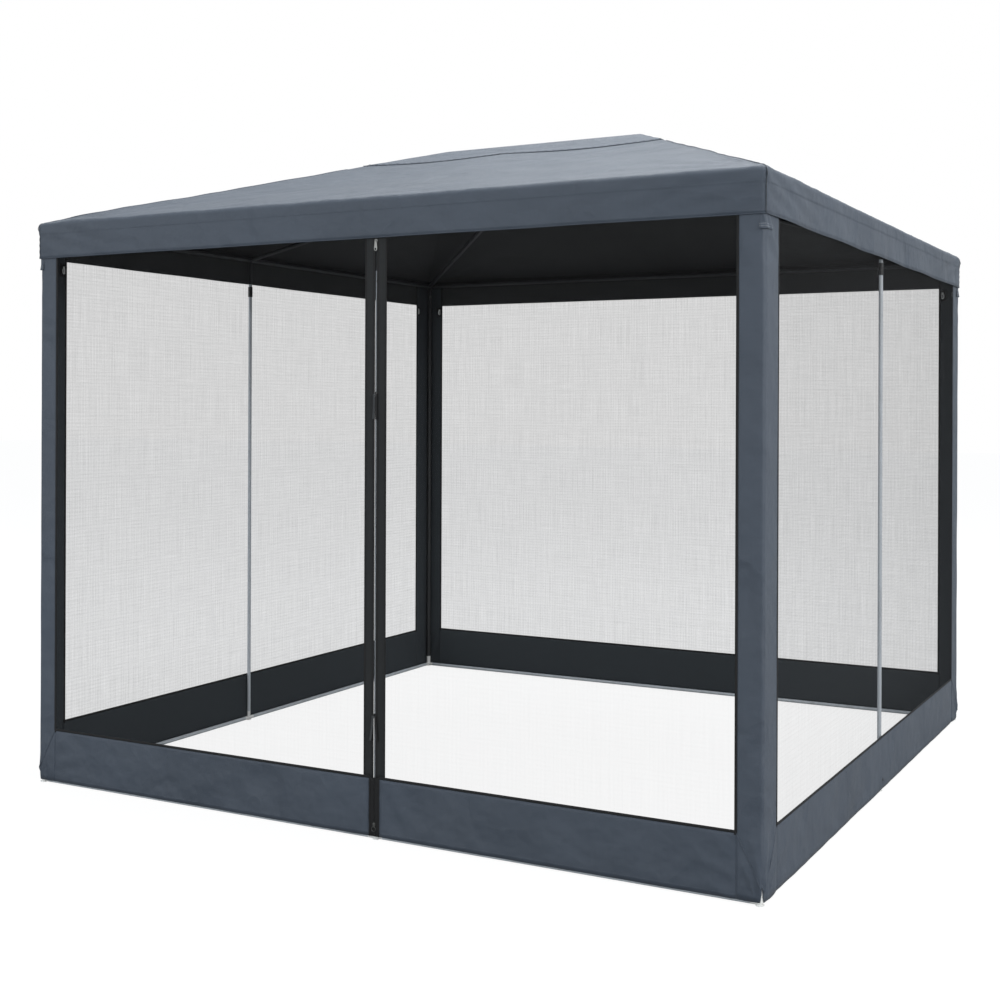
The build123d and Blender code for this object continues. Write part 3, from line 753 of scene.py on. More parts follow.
def roofPoint(side, u, row):
    rows, folds = roofLook["roofRows"], roofLook["foldSteps"]
    plan, way = planPoint(side, u)
    eave = plan + up * eaveZ
    ridge = ridgePoint(side, u)
    down = (eave - ridge).normalized()
    turn = math.acos(max(-1, min(1, down.dot(-up))))
    radius = roofLook["foldRadius"]
    reach = radius * math.tan(turn / 2)
    last = eave - down * reach
    flatDown = Vector((down.x, down.y, 0)).normalized()
    if row <= rows:
        t = row / rows
        t = t + roofLook["rowCrowd"] * math.sin(math.pi * t) * t
        point = ridge.lerp(last, t)
        ends = min(1.0, 6 * t)
        soft = roofLook["ridgeRadius"] * 0.35 * math.exp(-t * roofLook["slopeLength"] / 0.02)
        return point + up * (roofRipple(point, u, t) * ends - soft)
    if row <= rows + folds:
        share = (row - rows) / folds
        centre = eave - up * reach - flatDown * radius
        around = turn - turn * share  # the arc ends where the cloth hangs straight down
        point = centre + flatDown * (radius * math.cos(around)) + up * (radius * math.sin(around))
        blend = 1 - share
        return point + up * (roofRipple(point, u, 1.0) * blend) + way * (valanceRipple(point, u, 0.0) * share)
    hang = (row - rows - folds) / roofLook["valanceRows"]
    top = eaveZ - reach
    point = plan + up * (top + (roofLow.z - top) * hang)
    return point + way * valanceRipple(point, u, hang)


def makeRoof():
    us = spread(-1, 1, roofLook["columns"], 0.45)
    grids = []
    for side in sides:
        direction, outward = sides[side]
        points = [[roofPoint(side, u, row) for u in us] for row in range(lastRoofRow + 1)]
        flats = [[(direction.dot(p), outward.dot(p) - p.z * 1.2) for p in line] for line in points]
        grids.append((points, flats))
    # painted shade: the underside takes the near-black colour
    cloth = ("slateCloth", "roofShadedUnderside")
    item = addPiece(gridMesh("roofCover", grids), "frame", ("roof_cover",), cloth)
    thicken(item, roofLook["thickness"])


def valancePath(side, z, out, count=150):  # a line round the valance, just proud of the cloth
    rows = roofLook["roofRows"] + roofLook["foldSteps"]
    top = roofPoint(side, 0.0, rows).z
    reach = eaveZ - top
    hang = (eaveZ - reach - z) / (eaveZ - reach - roofLow.z) * roofLook["valanceRows"]
    line = []
    for i in range(count + 1):
        u = -1.0 + 2.0 * i / count
        line.append(roofPoint(side, u, rows + hang) + planPoint(side, u)[1] * out)
    return line


def slopePath(side, u, first, last, lift, count=60):  # a line down the roof, just proud of the cloth
    rows = roofLook["roofRows"]
    shares = [first + (last - first) * i / count for i in range(count + 1)]
    return [roofPoint(side, u, rows * share) + up * lift for share in shares]


def makeRoofSeams():
    rows = []
    for side in sides:
        rows.append(valancePath(side, eaveZ - roofLook["seamDrop"], 0.0004))
        rows.append(valancePath(side, roofLow.z + roofLook["hemRise"], 0.0004))
        for u in (-0.985, 0.985):
            rows.append(slopePath(side, u, 0.3, 1.0, 0.0005))
    makeRow("roofStitches", rows, "frame", "cover_fabric", "seamThread",
            pitch=0.0075, length=0.0046, **thread)
    work = bmesh.new()
    for side in sides:
        hem = valancePath(side, roofLow.z + 0.002, 0.0002)
        sweep(work, hem, up, roundSection(0.0016, 6))
        seam = valancePath(side, eaveZ - roofLook["seamDrop"] - 0.004, 0.0001)
        sweep(work, seam, up, roundSection(0.0006, 6))
    for side in ("front", "back"):
        for u in (-1.0, 1.0):
            sweep(work, slopePath(side, u, 0.27, 1.0, 0.0004), up, roundSection(0.0022, 6, 0.6))
    addPiece(finishMesh(work, "roofSeams"), "frame", (), ("slateCloth",))
    work = bmesh.new()
    start = roofLook["roofRows"] + 1
    for side in sides:  # the seam down each corner of the valance
        outward = planPoint(side, 1.0)[1]
        line = [roofPoint(side, 1.0, start + i * 0.25) for i in range(int((lastRoofRow - start) * 4) + 1)]
        sweep(work, [p + outward * 0.0001 for p in line], outward, roundSection(0.0014, 6))
    addPiece(finishMesh(work, "cornerSeams"), "frame", (), ("wallLining",))


makeRoof()
makeRoofSeams()
print("roof made")


# ridge cap: a second layer over the ridge with a turned hem

capLook = {"share": 0.25, "lift": 0.0016, "thickness": 0.0008, "columns": 70, "rows": 12, "ripple": 0.0006}


def capPoint(side, u, t, lift):
    shaped = capLook["share"] * t
    row = roofLook["roofRows"] * shaped / (1 + roofLook["rowCrowd"] * math.sin(math.pi * shaped))
    point = roofPoint(side, u, row)
    return point + up * (lift + capLook["ripple"] * (1 + wander(point, 0.05, 4.4)) * t)


def makeRidgeCap():
    us = spread(-1, 1, capLook["columns"])
    rows = capLook["rows"]
    grids = []
    for side in sides:
        direction, outward = sides[side]
        points = [[capPoint(side, u, r / rows, capLook["lift"]) for u in us] for r in range(rows + 1)]
        flats = [[(direction.dot(p), outward.dot(p)) for p in line] for line in points]
        grids.append((points, flats))
    mesh = gridMesh("ridgeCap", grids)
    item = addPiece(mesh, "frame", ("ridge_cap",), ("slateCloth", "slateCloth"))
    thicken(item, capLook["thickness"], 0)
    work = bmesh.new()
    lines = []
    for side in sides:
        steps = [-1 + i / 40 for i in range(81)]
        sweep(work, [capPoint(side, u, 1.0, capLook["lift"]) for u in steps], up, roundSection(0.0011, 6))
        lines.append([capPoint(side, u, 0.93, capLook["lift"] + 0.0006) for u in steps])
    addPiece(finishMesh(work, "ridgeCapHem"), "frame", (), ("slateCloth",))
    makeRow("ridgeCapStitches", lines, "frame", "cover_fabric", "darkThread",
            pitch=0.036, length=0.020, width=0.0018, rise=0.0008)


makeRidgeCap()
print("ridge cap made")


# walls: corner sleeves, bottom bands, mesh, bindings

wallLook = {
    "thickness": 0.0009, "bindWidth": 0.009, "bindThick": 0.0030,
    "sleeveRows": 112, "cornerRadius": 0.009, "sleeveRipple": 0.0026, "topPucker": 0.0018,
    "footFan": 0.0100, "fanTop": 0.203, "slit": 0.054, "tuck": 0.007, "tuckDepth": 0.0014,
    "bandStep": 0.018, "bandRows": 14, "bandRipple": 0.0026,
    "meshStep": 0.06, "meshBillow": 0.0030,
}


def outwardOnly(value, most):
    return most * 0.5 * (1 + math.tanh(value))


def footFan(across, rise):  # folds that spread from the foot of a corner
    reach = math.hypot(across, rise)
    angle = math.atan2(rise, max(across, 1e-5))
    turned = angle * 15 + 2 * wander(Vector((across, rise, 0)), 0.12, 17.0)
    fold = (0.5 + 0.5 * math.sin(turned)) ** 2.2
    return wallLook["footFan"] * fold * math.exp(-reach / 0.17) * min(1.0, reach / 0.05)


def bandRipple(point, along, z, ends):  # outward move of a band, which hangs freer towards its hem
    low, high, bottom, top = ends
    depth = (top - z) / (top - bottom)
    fromEnd = min(along - low, high - along)
    calm = min(1.0, fromEnd / 0.05)
    wave = 1.5 * wander(point, 0.30, 11.0) + 1.1 * wander(point, 0.085, 12.5)
    slack = wander(Vector((point.x * 0.5, point.y * 0.5, point.z * 3)), 0.07, 14.2)
    fan = footFan(max(abs(point.x), abs(point.y)) - abs(along), z - bottom) * min(1.0, (top - z) / 0.03)
    fan *= min(1.0, fromEnd / 0.022)
    return outwardOnly(wave + 0.6 * slack, wallLook["bandRipple"]) * (0.25 + depth) * calm + fan


def tuckedPoint(side, end, out, z):  # where a band's tongue lies behind the sleeve
    past = end + math.copysign(wallLook["tuck"], end)
    return wallPoint(side, past, out - wallLook["tuckDepth"], z)


def makeBand(node, side, name, squash=None):
    low, high, bottom, top, out = wallSpan(node, side)
    direction, outward = sides[side]
    count, rows = max(8, round((high - low) / wallLook["bandStep"])), wallLook["bandRows"]
    points, flats = [], []
    for r in range(rows + 1):
        z = top + (bottom - top) * r / rows
        line = []
        for along in spread(low, high, count, 0.2):
            spot = wallPoint(side, along, out, z)
            line.append(spot + outward * bandRipple(spot, along, z, (low, high, bottom, top)))
        if abs(low) > 1:
            line.insert(0, tuckedPoint(side, low, out, z))
        if abs(high) > 1:
            line.append(tuckedPoint(side, high, out, z))
        points.append(line)
        flats.append([(direction.dot(p), p.z) for p in line])
    # painted shade: the band's inner face takes the darker wall colour
    cloth = ("slateCloth", "wallLining")
    item = addPiece(gridMesh(name, [(points, flats)]), "frame", (node,), cloth)
    thicken(item, wallLook["thickness"])
    work = bmesh.new()
    edge = [p + up * 0.001 for p in points[0]]
    sweep(work, edge, outward, tapeSection(wallLook["bindWidth"], wallLook["bindThick"]))
    binding = addPiece(finishMesh(work, name + "Binding"), "frame", (), ("blackBinding",))
    hemLine = [p + outward * 0.0004 for p in points[-2]]
    stitches = makeRow(name + "Stitches", [hemLine], "frame", "cover_fabric", "seamThread",
                       pitch=0.008, length=0.0048, **thread)
    if squash:
        for part in (item, binding, stitches):
            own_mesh(part)


def makeMesh(node, side, name, squash=None):
    low, high, bottom, top, out = wallSpan(node, side)
    direction, outward = sides[side]
    step = wallLook["meshStep"]
    across, tall = round((high - low) / step), round((top - bottom) / step)
    points, flats = [], []
    for r in range(tall + 1):
        z = top + (bottom - top) * r / tall
        line = []
        for c in range(across + 1):
            spot = wallPoint(side, low + (high - low) * c / across, out, z)
            hold = math.sin(math.pi * r / tall) * math.sin(math.pi * c / across)
            billow = wallLook["meshBillow"] * hold * (0.6 + wander(spot, 0.5, 21.0))
            line.append(spot + outward * billow)
        points.append(line)
        flats.append([(direction.dot(p), p.z) for p in line])
    item = addPiece(gridMesh(name, [(points, flats)]), "frame", (node,), ("insectMesh",))
    if squash:
        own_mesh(item)


def turnStops(outX, outY, radius, count):  # points and outward ways round a corner, between its two flats
    stops = []
    for i in range(1, count):
        angle = math.pi / 2 * i / count
        x, y = math.sin(angle), math.cos(angle)
        stops.append((outX - radius + radius * x, outY - radius + radius * y, x, y))
    return stops


def sleevePlan(corner):  # the sleeve's outer line from above, anticlockwise, with its outward way
    sx, sy = corners[corner]
    low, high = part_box("corner_sleeve_" + corner)
    outX, outY = (high.x if sx > 0 else -low.x), (high.y if sy > 0 else -low.y)
    edgeX, edgeY = (low.x if sx > 0 else -high.x), (low.y if sy > 0 else -high.y)
    radius = wallLook["cornerRadius"]
    stops = [(edgeX + (outX - radius - edgeX) * i / 8, outY, 0.0, 1.0) for i in range(9)]
    stops += turnStops(outX, outY, radius, 6)
    stops += [(outX, outY - radius - (outY - radius - edgeY) * i / 12, 1.0, 0.0) for i in range(13)]
    turned = [(Vector((sx * x, sy * y, 0)), Vector((sx * nx, sy * ny, 0))) for x, y, nx, ny in stops]
    return turned if sx * sy < 0 else turned[::-1], low.z, high.z


def sleevePoint(spot, way, z, share, bottom):
    point = spot + up * z
    fromFoot = z - bottom
    fromEdge = min(share, 1 - share)
    flattened = Vector((point.x, point.y, point.z * 0.45))
    wave = 1.4 * wander(flattened, 0.09, 31.0) + 0.8 * wander(point, 0.25, 33.0)
    move = outwardOnly(wave, wallLook["sleeveRipple"])
    nearTop = math.exp(-((z - 1.99) / 0.10) ** 2)
    move += wallLook["topPucker"] * nearTop * (0.5 + 0.5 * math.sin(9 * share + 60 * z))
    hold = min(1.0, fromEdge / 0.06)
    tall = wallLook["slit"]  # the hem parts at the corner, round the foot
    bent = abs(way.x) * abs(way.y) > 1e-6
    fromCorner = (1 - abs(abs(way.x) - abs(way.y))) if bent else 0
    rise = tall * fromCorner ** 1.6 * max(0.0, 1 - fromFoot / (tall * 2.6))
    fan = footFan(abs(abs(spot.x) - abs(spot.y)), fromFoot)
    fan *= max(0.0, min(1.0, (wallLook["fanTop"] - fromFoot) / 0.03))
    fan *= min(1.0, fromEdge * 8)
    return point + way * (move * hold + fan) * (1 - 0.8 * fromCorner) + up * rise


def makeSleeve(corner, name):
    plan, bottom, top = sleevePlan(corner)
    count = wallLook["sleeveRows"]
    travelled, along = [0.0], 0.0
    for a, b in zip(plan, plan[1:]):
        along += (b[0] - a[0]).length
        travelled.append(along)
    stops = list(zip(plan, travelled))
    points, flats = [], []
    for r in range(count + 1):
        z = top + (bottom - top) * r / count
        points.append([sleevePoint(spot, way, z, s / along, bottom) for (spot, way), s in stops])
        flats.append([(s, z) for s in travelled])
    # painted shade: the sleeve's inner face takes the darker wall colour
    cloth = ("slateCloth", "wallLining")
    mesh = gridMesh(name, [(points, flats)])
    item = addPiece(mesh, "frame", ("corner_sleeve_" + corner,), cloth)
    thicken(item, wallLook["thickness"])
    return points, plan, travelled, along


def mitreLine(plan, travelled, along, bandTop, bottom, toward):  # from a sleeve's edge down to its corner
    middle = next(i for i, (spot, way) in enumerate(plan) if abs(abs(way.x) - abs(way.y)) < 0.3)
    last = middle if toward > 0 else len(plan) - 1 - middle
    line = []
    for i in range(25):
        share = i / 24
        k = min(int(last * share), last - 1)
        mix = last * share - k
        a = k if toward > 0 else len(plan) - 1 - k
        b = a + toward
        spot = plan[a][0].lerp(plan[b][0], mix)
        way = plan[a][1].lerp(plan[b][1], mix).normalized()
        s = travelled[a] + (travelled[b] - travelled[a]) * mix
        z = bandTop + (bottom - bandTop) * share
        line.append(sleevePoint(spot, way, z, s / along, bottom) + way * 0.0003)
    return line


def makeSleeves():
    stitches, bindWork, seamWork = [], bmesh.new(), bmesh.new()
    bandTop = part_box("band_back")[1].z
    for corner in corners:
        label = "cornerSleeve" + "".join(w.capitalize() for w in corner.split("_"))
        points, plan, travelled, along = makeSleeve(corner, label)
        for column, inner, toward in ((0, 1, 1), (-1, -2, -1)):
            way = plan[column][1]
            edge = [line[column] for line in points if line[column].z > bandTop - 0.01]
            sweep(bindWork, edge, way, tapeSection(wallLook["bindWidth"], wallLook["bindThick"]))
            stitches.append([line[inner] + way * 0.0004 for line in points if line[inner].z > bandTop])
            mitre = mitreLine(plan, travelled, along, bandTop, points[-1][0].z, toward)
            sweep(seamWork, mitre, way, roundSection(0.0013, 6))
    addPiece(finishMesh(bindWork, "sleeveBindings"), "frame", (), ("blackBinding",))
    addPiece(finishMesh(seamWork, "mitreSeams"), "frame", (), ("slateCloth",))
    makeRow("sleeveStitches", stitches, "frame", "cover_fabric", "seamThread",
            pitch=0.009, length=0.005, **thread)


def drawnAside(node, joint, side):  # the joint, the anchor and the share kept for a front half drawn aside towards its sleeve
    low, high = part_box(node)
    travel = next(j for j in frame["joints"] if j["name"] == joint)["range_m"][1]
    anchor = low if side == "left" else high
    return {"joint": joint, "anchor": (anchor.x, 0, 0), "keep": 1 - travel / (high.x - low.x)}


makeSleeves()
for side in ("back", "left", "right"):
    makeBand("band_" + side, side, "band" + side.capitalize())
    makeMesh("mesh_" + side, side, "mesh" + side.capitalize())
for half in ("left", "right"):
    for kind, makeHalf in (("band", makeBand), ("mesh", makeMesh)):
        node = f"{kind}_front_{half}"
        gather = drawnAside(node, f"door_{half}_draw", half)
        makeHalf(node, "front", f"{kind}Front{half.capitalize()}", gather)
print("walls made")


# doorway: charcoal strips, black zip tapes and coils

doorLook = {
    "rows": 110, "lowRows": 14, "ripple": 0.0011, "thickness": 0.0008, "closedStep": 0.0013,
    "outerTape": 0.006, "lowTape": 0.005, "edgeThick": 0.0026, "zipTape": 0.009, "tapeThick": 0.0016,
    "outerSeam": 0.006, "innerSeam": 0.0015, "topGap": 0.01, "hemGap": 0.003,
    "coil": {"pitch": 0.0026, "length": 0.0020, "width": 0.0036, "rise": 0.0022, "uneven": 0.03},
}
wallOut = wallSpan("door_edge_left", "front")[4]
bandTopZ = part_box("band_front_left")[1].z
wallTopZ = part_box("door_edge_left")[1].z
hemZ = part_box("door_edge_left")[0].z
doorX = (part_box("door_edge_left")[1].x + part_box("door_edge_right")[0].x) / 2
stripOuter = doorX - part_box("door_edge_left")[0].x  # from the zip's middle to a strip's outer edge
tapeHalf = 0.0188  # to the edge of the closed tape
gapHalf = 0.0045  # to the inner edge of the open one


def stripPoint(sign, reach, z):
    point = wallPoint("front", doorX + sign * reach, wallOut, z)
    middle = math.sin(math.pi * min(1, max(0, (reach - gapHalf) / (stripOuter - gapHalf))))
    pucker = wander(Vector((point.x * 0.5, point.y, point.z)), 0.034, 40.0) + 0.8 * wander(point, 0.16, 41.0)
    return point + sides["front"][1] * (doorLook["ripple"] * middle * pucker - 0.0002)


def makeDoorEdge(half, sign):
    body, name = "door_" + half, "doorEdge" + half.capitalize()
    outward = sides["front"][1]
    count, lowCount, zipTape = doorLook["rows"], doorLook["lowRows"], doorLook["zipTape"]
    heights = [wallTopZ + (bandTopZ - wallTopZ) * k / count for k in range(count + 1)]
    lowHeights = [bandTopZ + (hemZ - bandTopZ) * k / lowCount for k in range(lowCount + 1)]
    nearZip = gapHalf * 0.02
    reaches = [gapHalf + (stripOuter - gapHalf) * i / 7 for i in range(8)][::sign]
    tapes = [nearZip + (tapeHalf - nearZip) * i / 4 for i in range(5)][::sign]
    upper = [[stripPoint(sign, r, z) for r in reaches] for z in heights]
    lower = [[stripPoint(sign, r, z) for r in tapes] for z in lowHeights]
    mesh = gridMesh(name, [(grid, [[(p.x, p.z) for p in line] for line in grid]) for grid in (upper, lower)])
    cloth = ("charcoalBand", "charcoalBand", "blackBinding")
    item = addPiece(mesh, body, ("door_edge_" + half,), cloth)
    for face in mesh.polygons:
        if face.center.z < bandTopZ:
            face.material_index = 2
    thicken(item, doorLook["thickness"], 0)
    work = bmesh.new()
    edgeTape = tapeSection(doorLook["outerTape"], doorLook["edgeThick"])
    sweep(work, [stripPoint(sign, stripOuter, z) for z in heights], outward, edgeTape)
    zipMiddle = gapHalf + zipTape / 2 - 0.001
    zipSection = tapeSection(zipTape, doorLook["tapeThick"])
    sweep(work, [stripPoint(sign, zipMiddle, z) for z in heights], outward, zipSection)
    lowTape = tapeSection(doorLook["lowTape"], doorLook["edgeThick"])
    sweep(work, [stripPoint(sign, tapeHalf, z) for z in lowHeights], outward, lowTape)
    addPiece(finishMesh(work, name + "Tapes"), body, (), ("blackBinding",))
    openEnds = (wallTopZ - doorLook["topGap"], bandTopZ)
    openCoil = [stripPoint(sign, gapHalf - 0.0006, z) for z in openEnds]
    closedEnds = (bandTopZ, hemZ + doorLook["hemGap"])
    closedCoil = [stripPoint(sign, doorLook["closedStep"], z) for z in closedEnds]
    makeRow(name + "Coil", [openCoil, closedCoil], body, "edge_fabric", "zipTeeth", **doorLook["coil"])
    lines = []
    for reach in (stripOuter - doorLook["outerSeam"], gapHalf + zipTape + doorLook["innerSeam"]):
        lines.append([stripPoint(sign, reach, z) + outward * 0.0003 for z in heights])
    makeRow(name + "Stitches", lines, body, "edge_fabric", "darkThread",
            pitch=0.008, length=0.005, **thread)


makeDoorEdge("left", -1)
makeDoorEdge("right", 1)
print("doorway made")


# zip sliders, pulls and ribbons

sliderLook = {
    "wide": 0.012, "tall": 0.015, "deep": 0.0026, "gap": 0.0003, "stud": 0.0016,
    "shield": (
        (0.55, 1), (0.9, 0.72), (1, 0.2), (0.82, -0.45), (0.62, -1),
        (-0.62, -1), (-0.82, -0.45), (-1, 0.2), (-0.9, 0.72), (-0.55, 1),
    ),
    "rib": ((-0.32, 0.86), (0.32, 0.86), (0.26, -0.8), (-0.26, -0.8)),
}
pullLook = {
    "topHalf": 0.0038, "lowHalf": 0.0068, "long": 0.034, "thick": 0.0011,
    "holeRadius": 0.0034, "holeDrop": 0.0272, "ringRadius": 0.008, "ringDrop": 0.014, "ringWire": 0.0008,
    "gap": 0.0003, "ribbonLong": 0.0875, "ribbonWide": 0.0088, "ribbonThick": 0.0010,
    "ribbons": {"middle": (0.005, 1.5), "lower": (0.009, 6.0)},  # how far apart, and the flare in degrees
}


def skinLoops(work, loops, closed=False):  # faces between each loop of vertices and the next
    faces = []
    pairs = list(zip(loops, loops[1:]))
    if closed:
        pairs.append((loops[-1], loops[0]))
    for one, two in pairs:
        for i in range(len(one)):
            j = (i + 1) % len(one)
            faces.append(work.faces.new([one[i], one[j], two[j], two[i]]))
    return faces


def middleOf(outline):
    return sum(a for a, z in outline) / len(outline), sum(z for a, z in outline) / len(outline)


def plate(work, side, outline, back, front, edge=0.0004):  # flat, with softened edges, from (along, z) points
    middle = middleOf(outline)

    def loopOf(inset, out):
        ring = []
        for a, z in outline:
            way = Vector((middle[0] - a, middle[1] - z))
            way = way * (inset / max(way.length, 1e-6))
            ring.append(work.verts.new(wallPoint(side, a + way.x, out, z + way.y)))
        return ring

    rings = [loopOf(edge, back), loopOf(0, back + edge), loopOf(0, front - edge), loopOf(edge, front)]
    faces = skinLoops(work, rings)
    faces += [work.faces.new(rings[0]), work.faces.new(rings[-1])]
    bmesh.ops.recalc_face_normals(work, faces=faces)


def ringPlate(work, side, outer, inner, back, front, edge=0.0003):  # a plate with a hole, equal point counts
    def loopOf(outline, out, grow):
        middle = middleOf(outline)
        ring = []
        for a, z in outline:
            way = Vector((a - middle[0], z - middle[1])).normalized() * grow
            ring.append(work.verts.new(wallPoint(side, a + way.x, out, z + way.y)))
        return ring

    levels = ((back, -edge), (back + edge, 0), (front - edge, 0), (front, -edge))
    rings = [loopOf(outer, out, grow) for out, grow in levels]
    rings += [loopOf(inner, out, -grow) for out, grow in reversed(levels)]
    bmesh.ops.recalc_face_normals(work, faces=skinLoops(work, rings, closed=True))


def stud(work, side, along, z, back, radius, rise):  # a low domed rivet head
    rings = []
    for share in (0.0, 0.35, 0.7, 0.9):
        r, out = radius * math.cos(share * math.pi / 2), back + rise * math.sin(share * math.pi / 2)
        ring = []
        for t in range(12):
            a, b = math.cos(t * math.pi / 6), math.sin(t * math.pi / 6)
            ring.append(work.verts.new(wallPoint(side, along + r * a, out, z + r * b)))
        rings.append(ring)
    faces = [work.faces.new(rings[0][::-1]), work.faces.new(rings[-1])]
    faces += skinLoops(work, rings)
    for face in faces:
        face.smooth = True
    bmesh.ops.recalc_face_normals(work, faces=faces)


def makeSlider(name, side, along, z, finish):
    wide, tall, deep = sliderLook["wide"] / 2, sliderLook["tall"] / 2, sliderLook["deep"]
    back = (wallOut if side == "front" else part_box("band_right")[1].x) + sliderLook["gap"]
    work = bmesh.new()
    shield = [(along + a * wide, z + b * tall) for a, b in sliderLook["shield"]]
    plate(work, side, shield, back, back + deep * 0.5)
    rib = [(along + a * wide, z + b * tall) for a, b in sliderLook["rib"]]
    plate(work, side, rib, back + deep * 0.45, back + deep * 0.8)
    crown = []
    for i in range(9):  # the bridge that the pull hangs from
        angle = math.pi * i / 8
        out = back + deep * (0.72 + 0.5 * math.sin(angle))
        crown.append(wallPoint(side, along, out, z + 0.62 * tall * math.cos(angle)))
    sweep(work, crown, sides[side][0], roundSection(0.0008, 8, 1.6))
    for step in (-0.55, 0.55):
        stud(work, side, along + step * wide, z + 0.25 * tall, back + deep * 0.48, 0.0011, 0.0006)
    mesh = finishMesh(work, "zipSlider" + name.capitalize())
    addPiece(mesh, "zip_" + name, ("zip_slider_" + name,), (finish,))
    return back + deep


def pullOutline(count, halfTop, halfLow, top, low, along):  # a tapering pull with a round lower end
    points = []
    for i in range(count):
        angle = 2 * math.pi * i / count
        a, b = math.sin(angle), math.cos(angle)
        half = halfLow if b < 0 else halfLow + (halfTop - halfLow) * b
        centre = low + halfLow
        z = centre + b * halfLow if b < 0 else centre + (top - centre) * min(1, b * 1.6)
        points.append((along + a * half, z))
    return points


def circlePoints(count, radius, along, z):
    turns = [2 * math.pi * i / count for i in range(count)]
    return [(along + radius * math.sin(t), z + radius * math.cos(t)) for t in turns]


def clasp(work, z, halfWide, halfTall, back, front):  # a small upright block in the middle of the zip
    box = [(doorX + a * halfWide, z + b * halfTall) for a, b in ((-1, -1), (1, -1), (1, 1), (-1, 1))]
    plate(work, "front", box, back, front)


def ribbonPath(z, out, sign, apart, flare):  # one of a pull's two ribbons, from the slider down
    lean = math.tan(math.radians(flare)) * sign
    path = []
    for i in range(19):
        share = i / 18
        drop = pullLook["ribbonLong"] * i / 18 + 0.0006
        along = doorX + sign * apart + lean * (drop - 0.044) + 0.0006 * math.sin(5 * i / 18 + sign)
        curl = 0.0008 * (1 - math.cos(3.2 * i / 18 + 0.6 * sign)) * share
        path.append(wallPoint("front", along, out + 0.0006 + curl, z - drop))
    return path


def makePulls(sliderZ, fronts):
    out = fronts + pullLook["gap"]
    z = sliderZ["top"]
    work = bmesh.new()
    outer = pullOutline(28, pullLook["topHalf"], pullLook["lowHalf"], z, z - pullLook["long"], doorX)
    hole = circlePoints(28, pullLook["holeRadius"], doorX, z - pullLook["holeDrop"])
    ringPlate(work, "front", outer, hole, out, out + pullLook["thick"])
    addPiece(finishMesh(work, "zipPullTop"), "pull_top", ("zip_pull_top",), ("nickel",))
    ribbon = tapeSection(pullLook["ribbonWide"], pullLook["ribbonThick"])
    for kind, (apart, flare) in pullLook["ribbons"].items():
        z = sliderZ[kind]
        work, studs = bmesh.new(), bmesh.new()
        for index, sign in enumerate((-1, 1)):
            path = ribbonPath(z, out, sign, apart, flare)
            sweep(work, path, sides["front"][1], ribbon, materialIndex=index)
        clasp(work, z - 0.0045, 0.0045, 0.0042, out + 0.0009, out + 0.0016)
        for step in (0.0025, 0.0095):
            stud(studs, "front", doorX - 0.001, z - step, out + 0.0014, sliderLook["stud"], 0.0008)
        name, body, tapes = "zipPull" + kind.capitalize(), "pull_" + kind, ("ribbonGrey", "blackBinding")
        addPiece(finishMesh(work, name), body, ("zip_pull_" + kind,), tapes)
        addPiece(finishMesh(studs, name + "Studs"), body, (), ("nickel",))
    z = sliderZ["base"]
    work = bmesh.new()
    circle = circlePoints(36, pullLook["ringRadius"], doorX, z - pullLook["ringDrop"])
    ring = [wallPoint("front", along, out + 0.0007, rise) for along, rise in circle]
    sweep(work, ring, sides["front"][1], roundSection(pullLook["ringWire"], 8), closedPath=True)
    clasp(work, z - 0.0035, 0.0016, 0.0034, out, out + pullLook["thick"])
    addPiece(finishMesh(work, "zipPullBase"), "pull_base", ("zip_pull_base",), ("nickel",))


def sliderHeight(node):
    low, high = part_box(node)
    return (low.z + high.z) / 2


sliderZ = {}
doorSliders = {"top": "nickel", "middle": "blackEnamel", "lower": "blackEnamel", "base": "nickel"}
for name, finish in doorSliders.items():
    sliderZ[name] = sliderHeight("zip_slider_" + name)
    fronts = makeSlider(name, "front", doorX, sliderZ[name], finish)
makePulls(sliderZ, fronts)
for side in ("left", "right"):
    low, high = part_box("zip_slider_" + side)
    along = sides[side][0].y * (low.y + high.y) / 2
    makeSlider(side, side, along, (low.z + high.z) / 2, "nickel")
print("zips made")


# corner tabs, wall hooks and their patches

trimLook = {
    "tabFront": 0.018, "tabSide": 0.053, "tabRadius": 0.006, "tabThick": 0.0016,
    "tabRipple": 0.0030, "tabSlack": 0.0008, "tabLift": 0.0016,
    "hookWide": 0.012, "hookTall": 0.028, "hookWire": 0.0022, "hookFlat": -0.55, "hookInset": 0.014,
    "strap": (0.009, 0.0020), "patch": (0.030, 0.052), "patchThick": 0.0002, "patchShift": 0.004,
    "stitchInset": 0.003,
}
tabLow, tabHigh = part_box("corner_tabs")
hookLow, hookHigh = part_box("wall_hooks")
hookDeep = 0.00125  # half a hook's thickness


def tabPoint(spot, way, share, down):  # a gathered tab, share along it and down from 0 at its top to 1
    ripple = 0.5 + 0.5 * math.sin(14 * share + 90 * (spot.z - tabLow.z))
    move = trimLook["tabRipple"] * ripple * (0.3 + 0.7 * down)
    move += trimLook["tabLift"] * down ** 1.5
    move += trimLook["tabSlack"] * (1 + wander(spot, 0.012, 50.0)) * down
    return spot + way * move + up * (0.004 * share * (1 - share) * down)


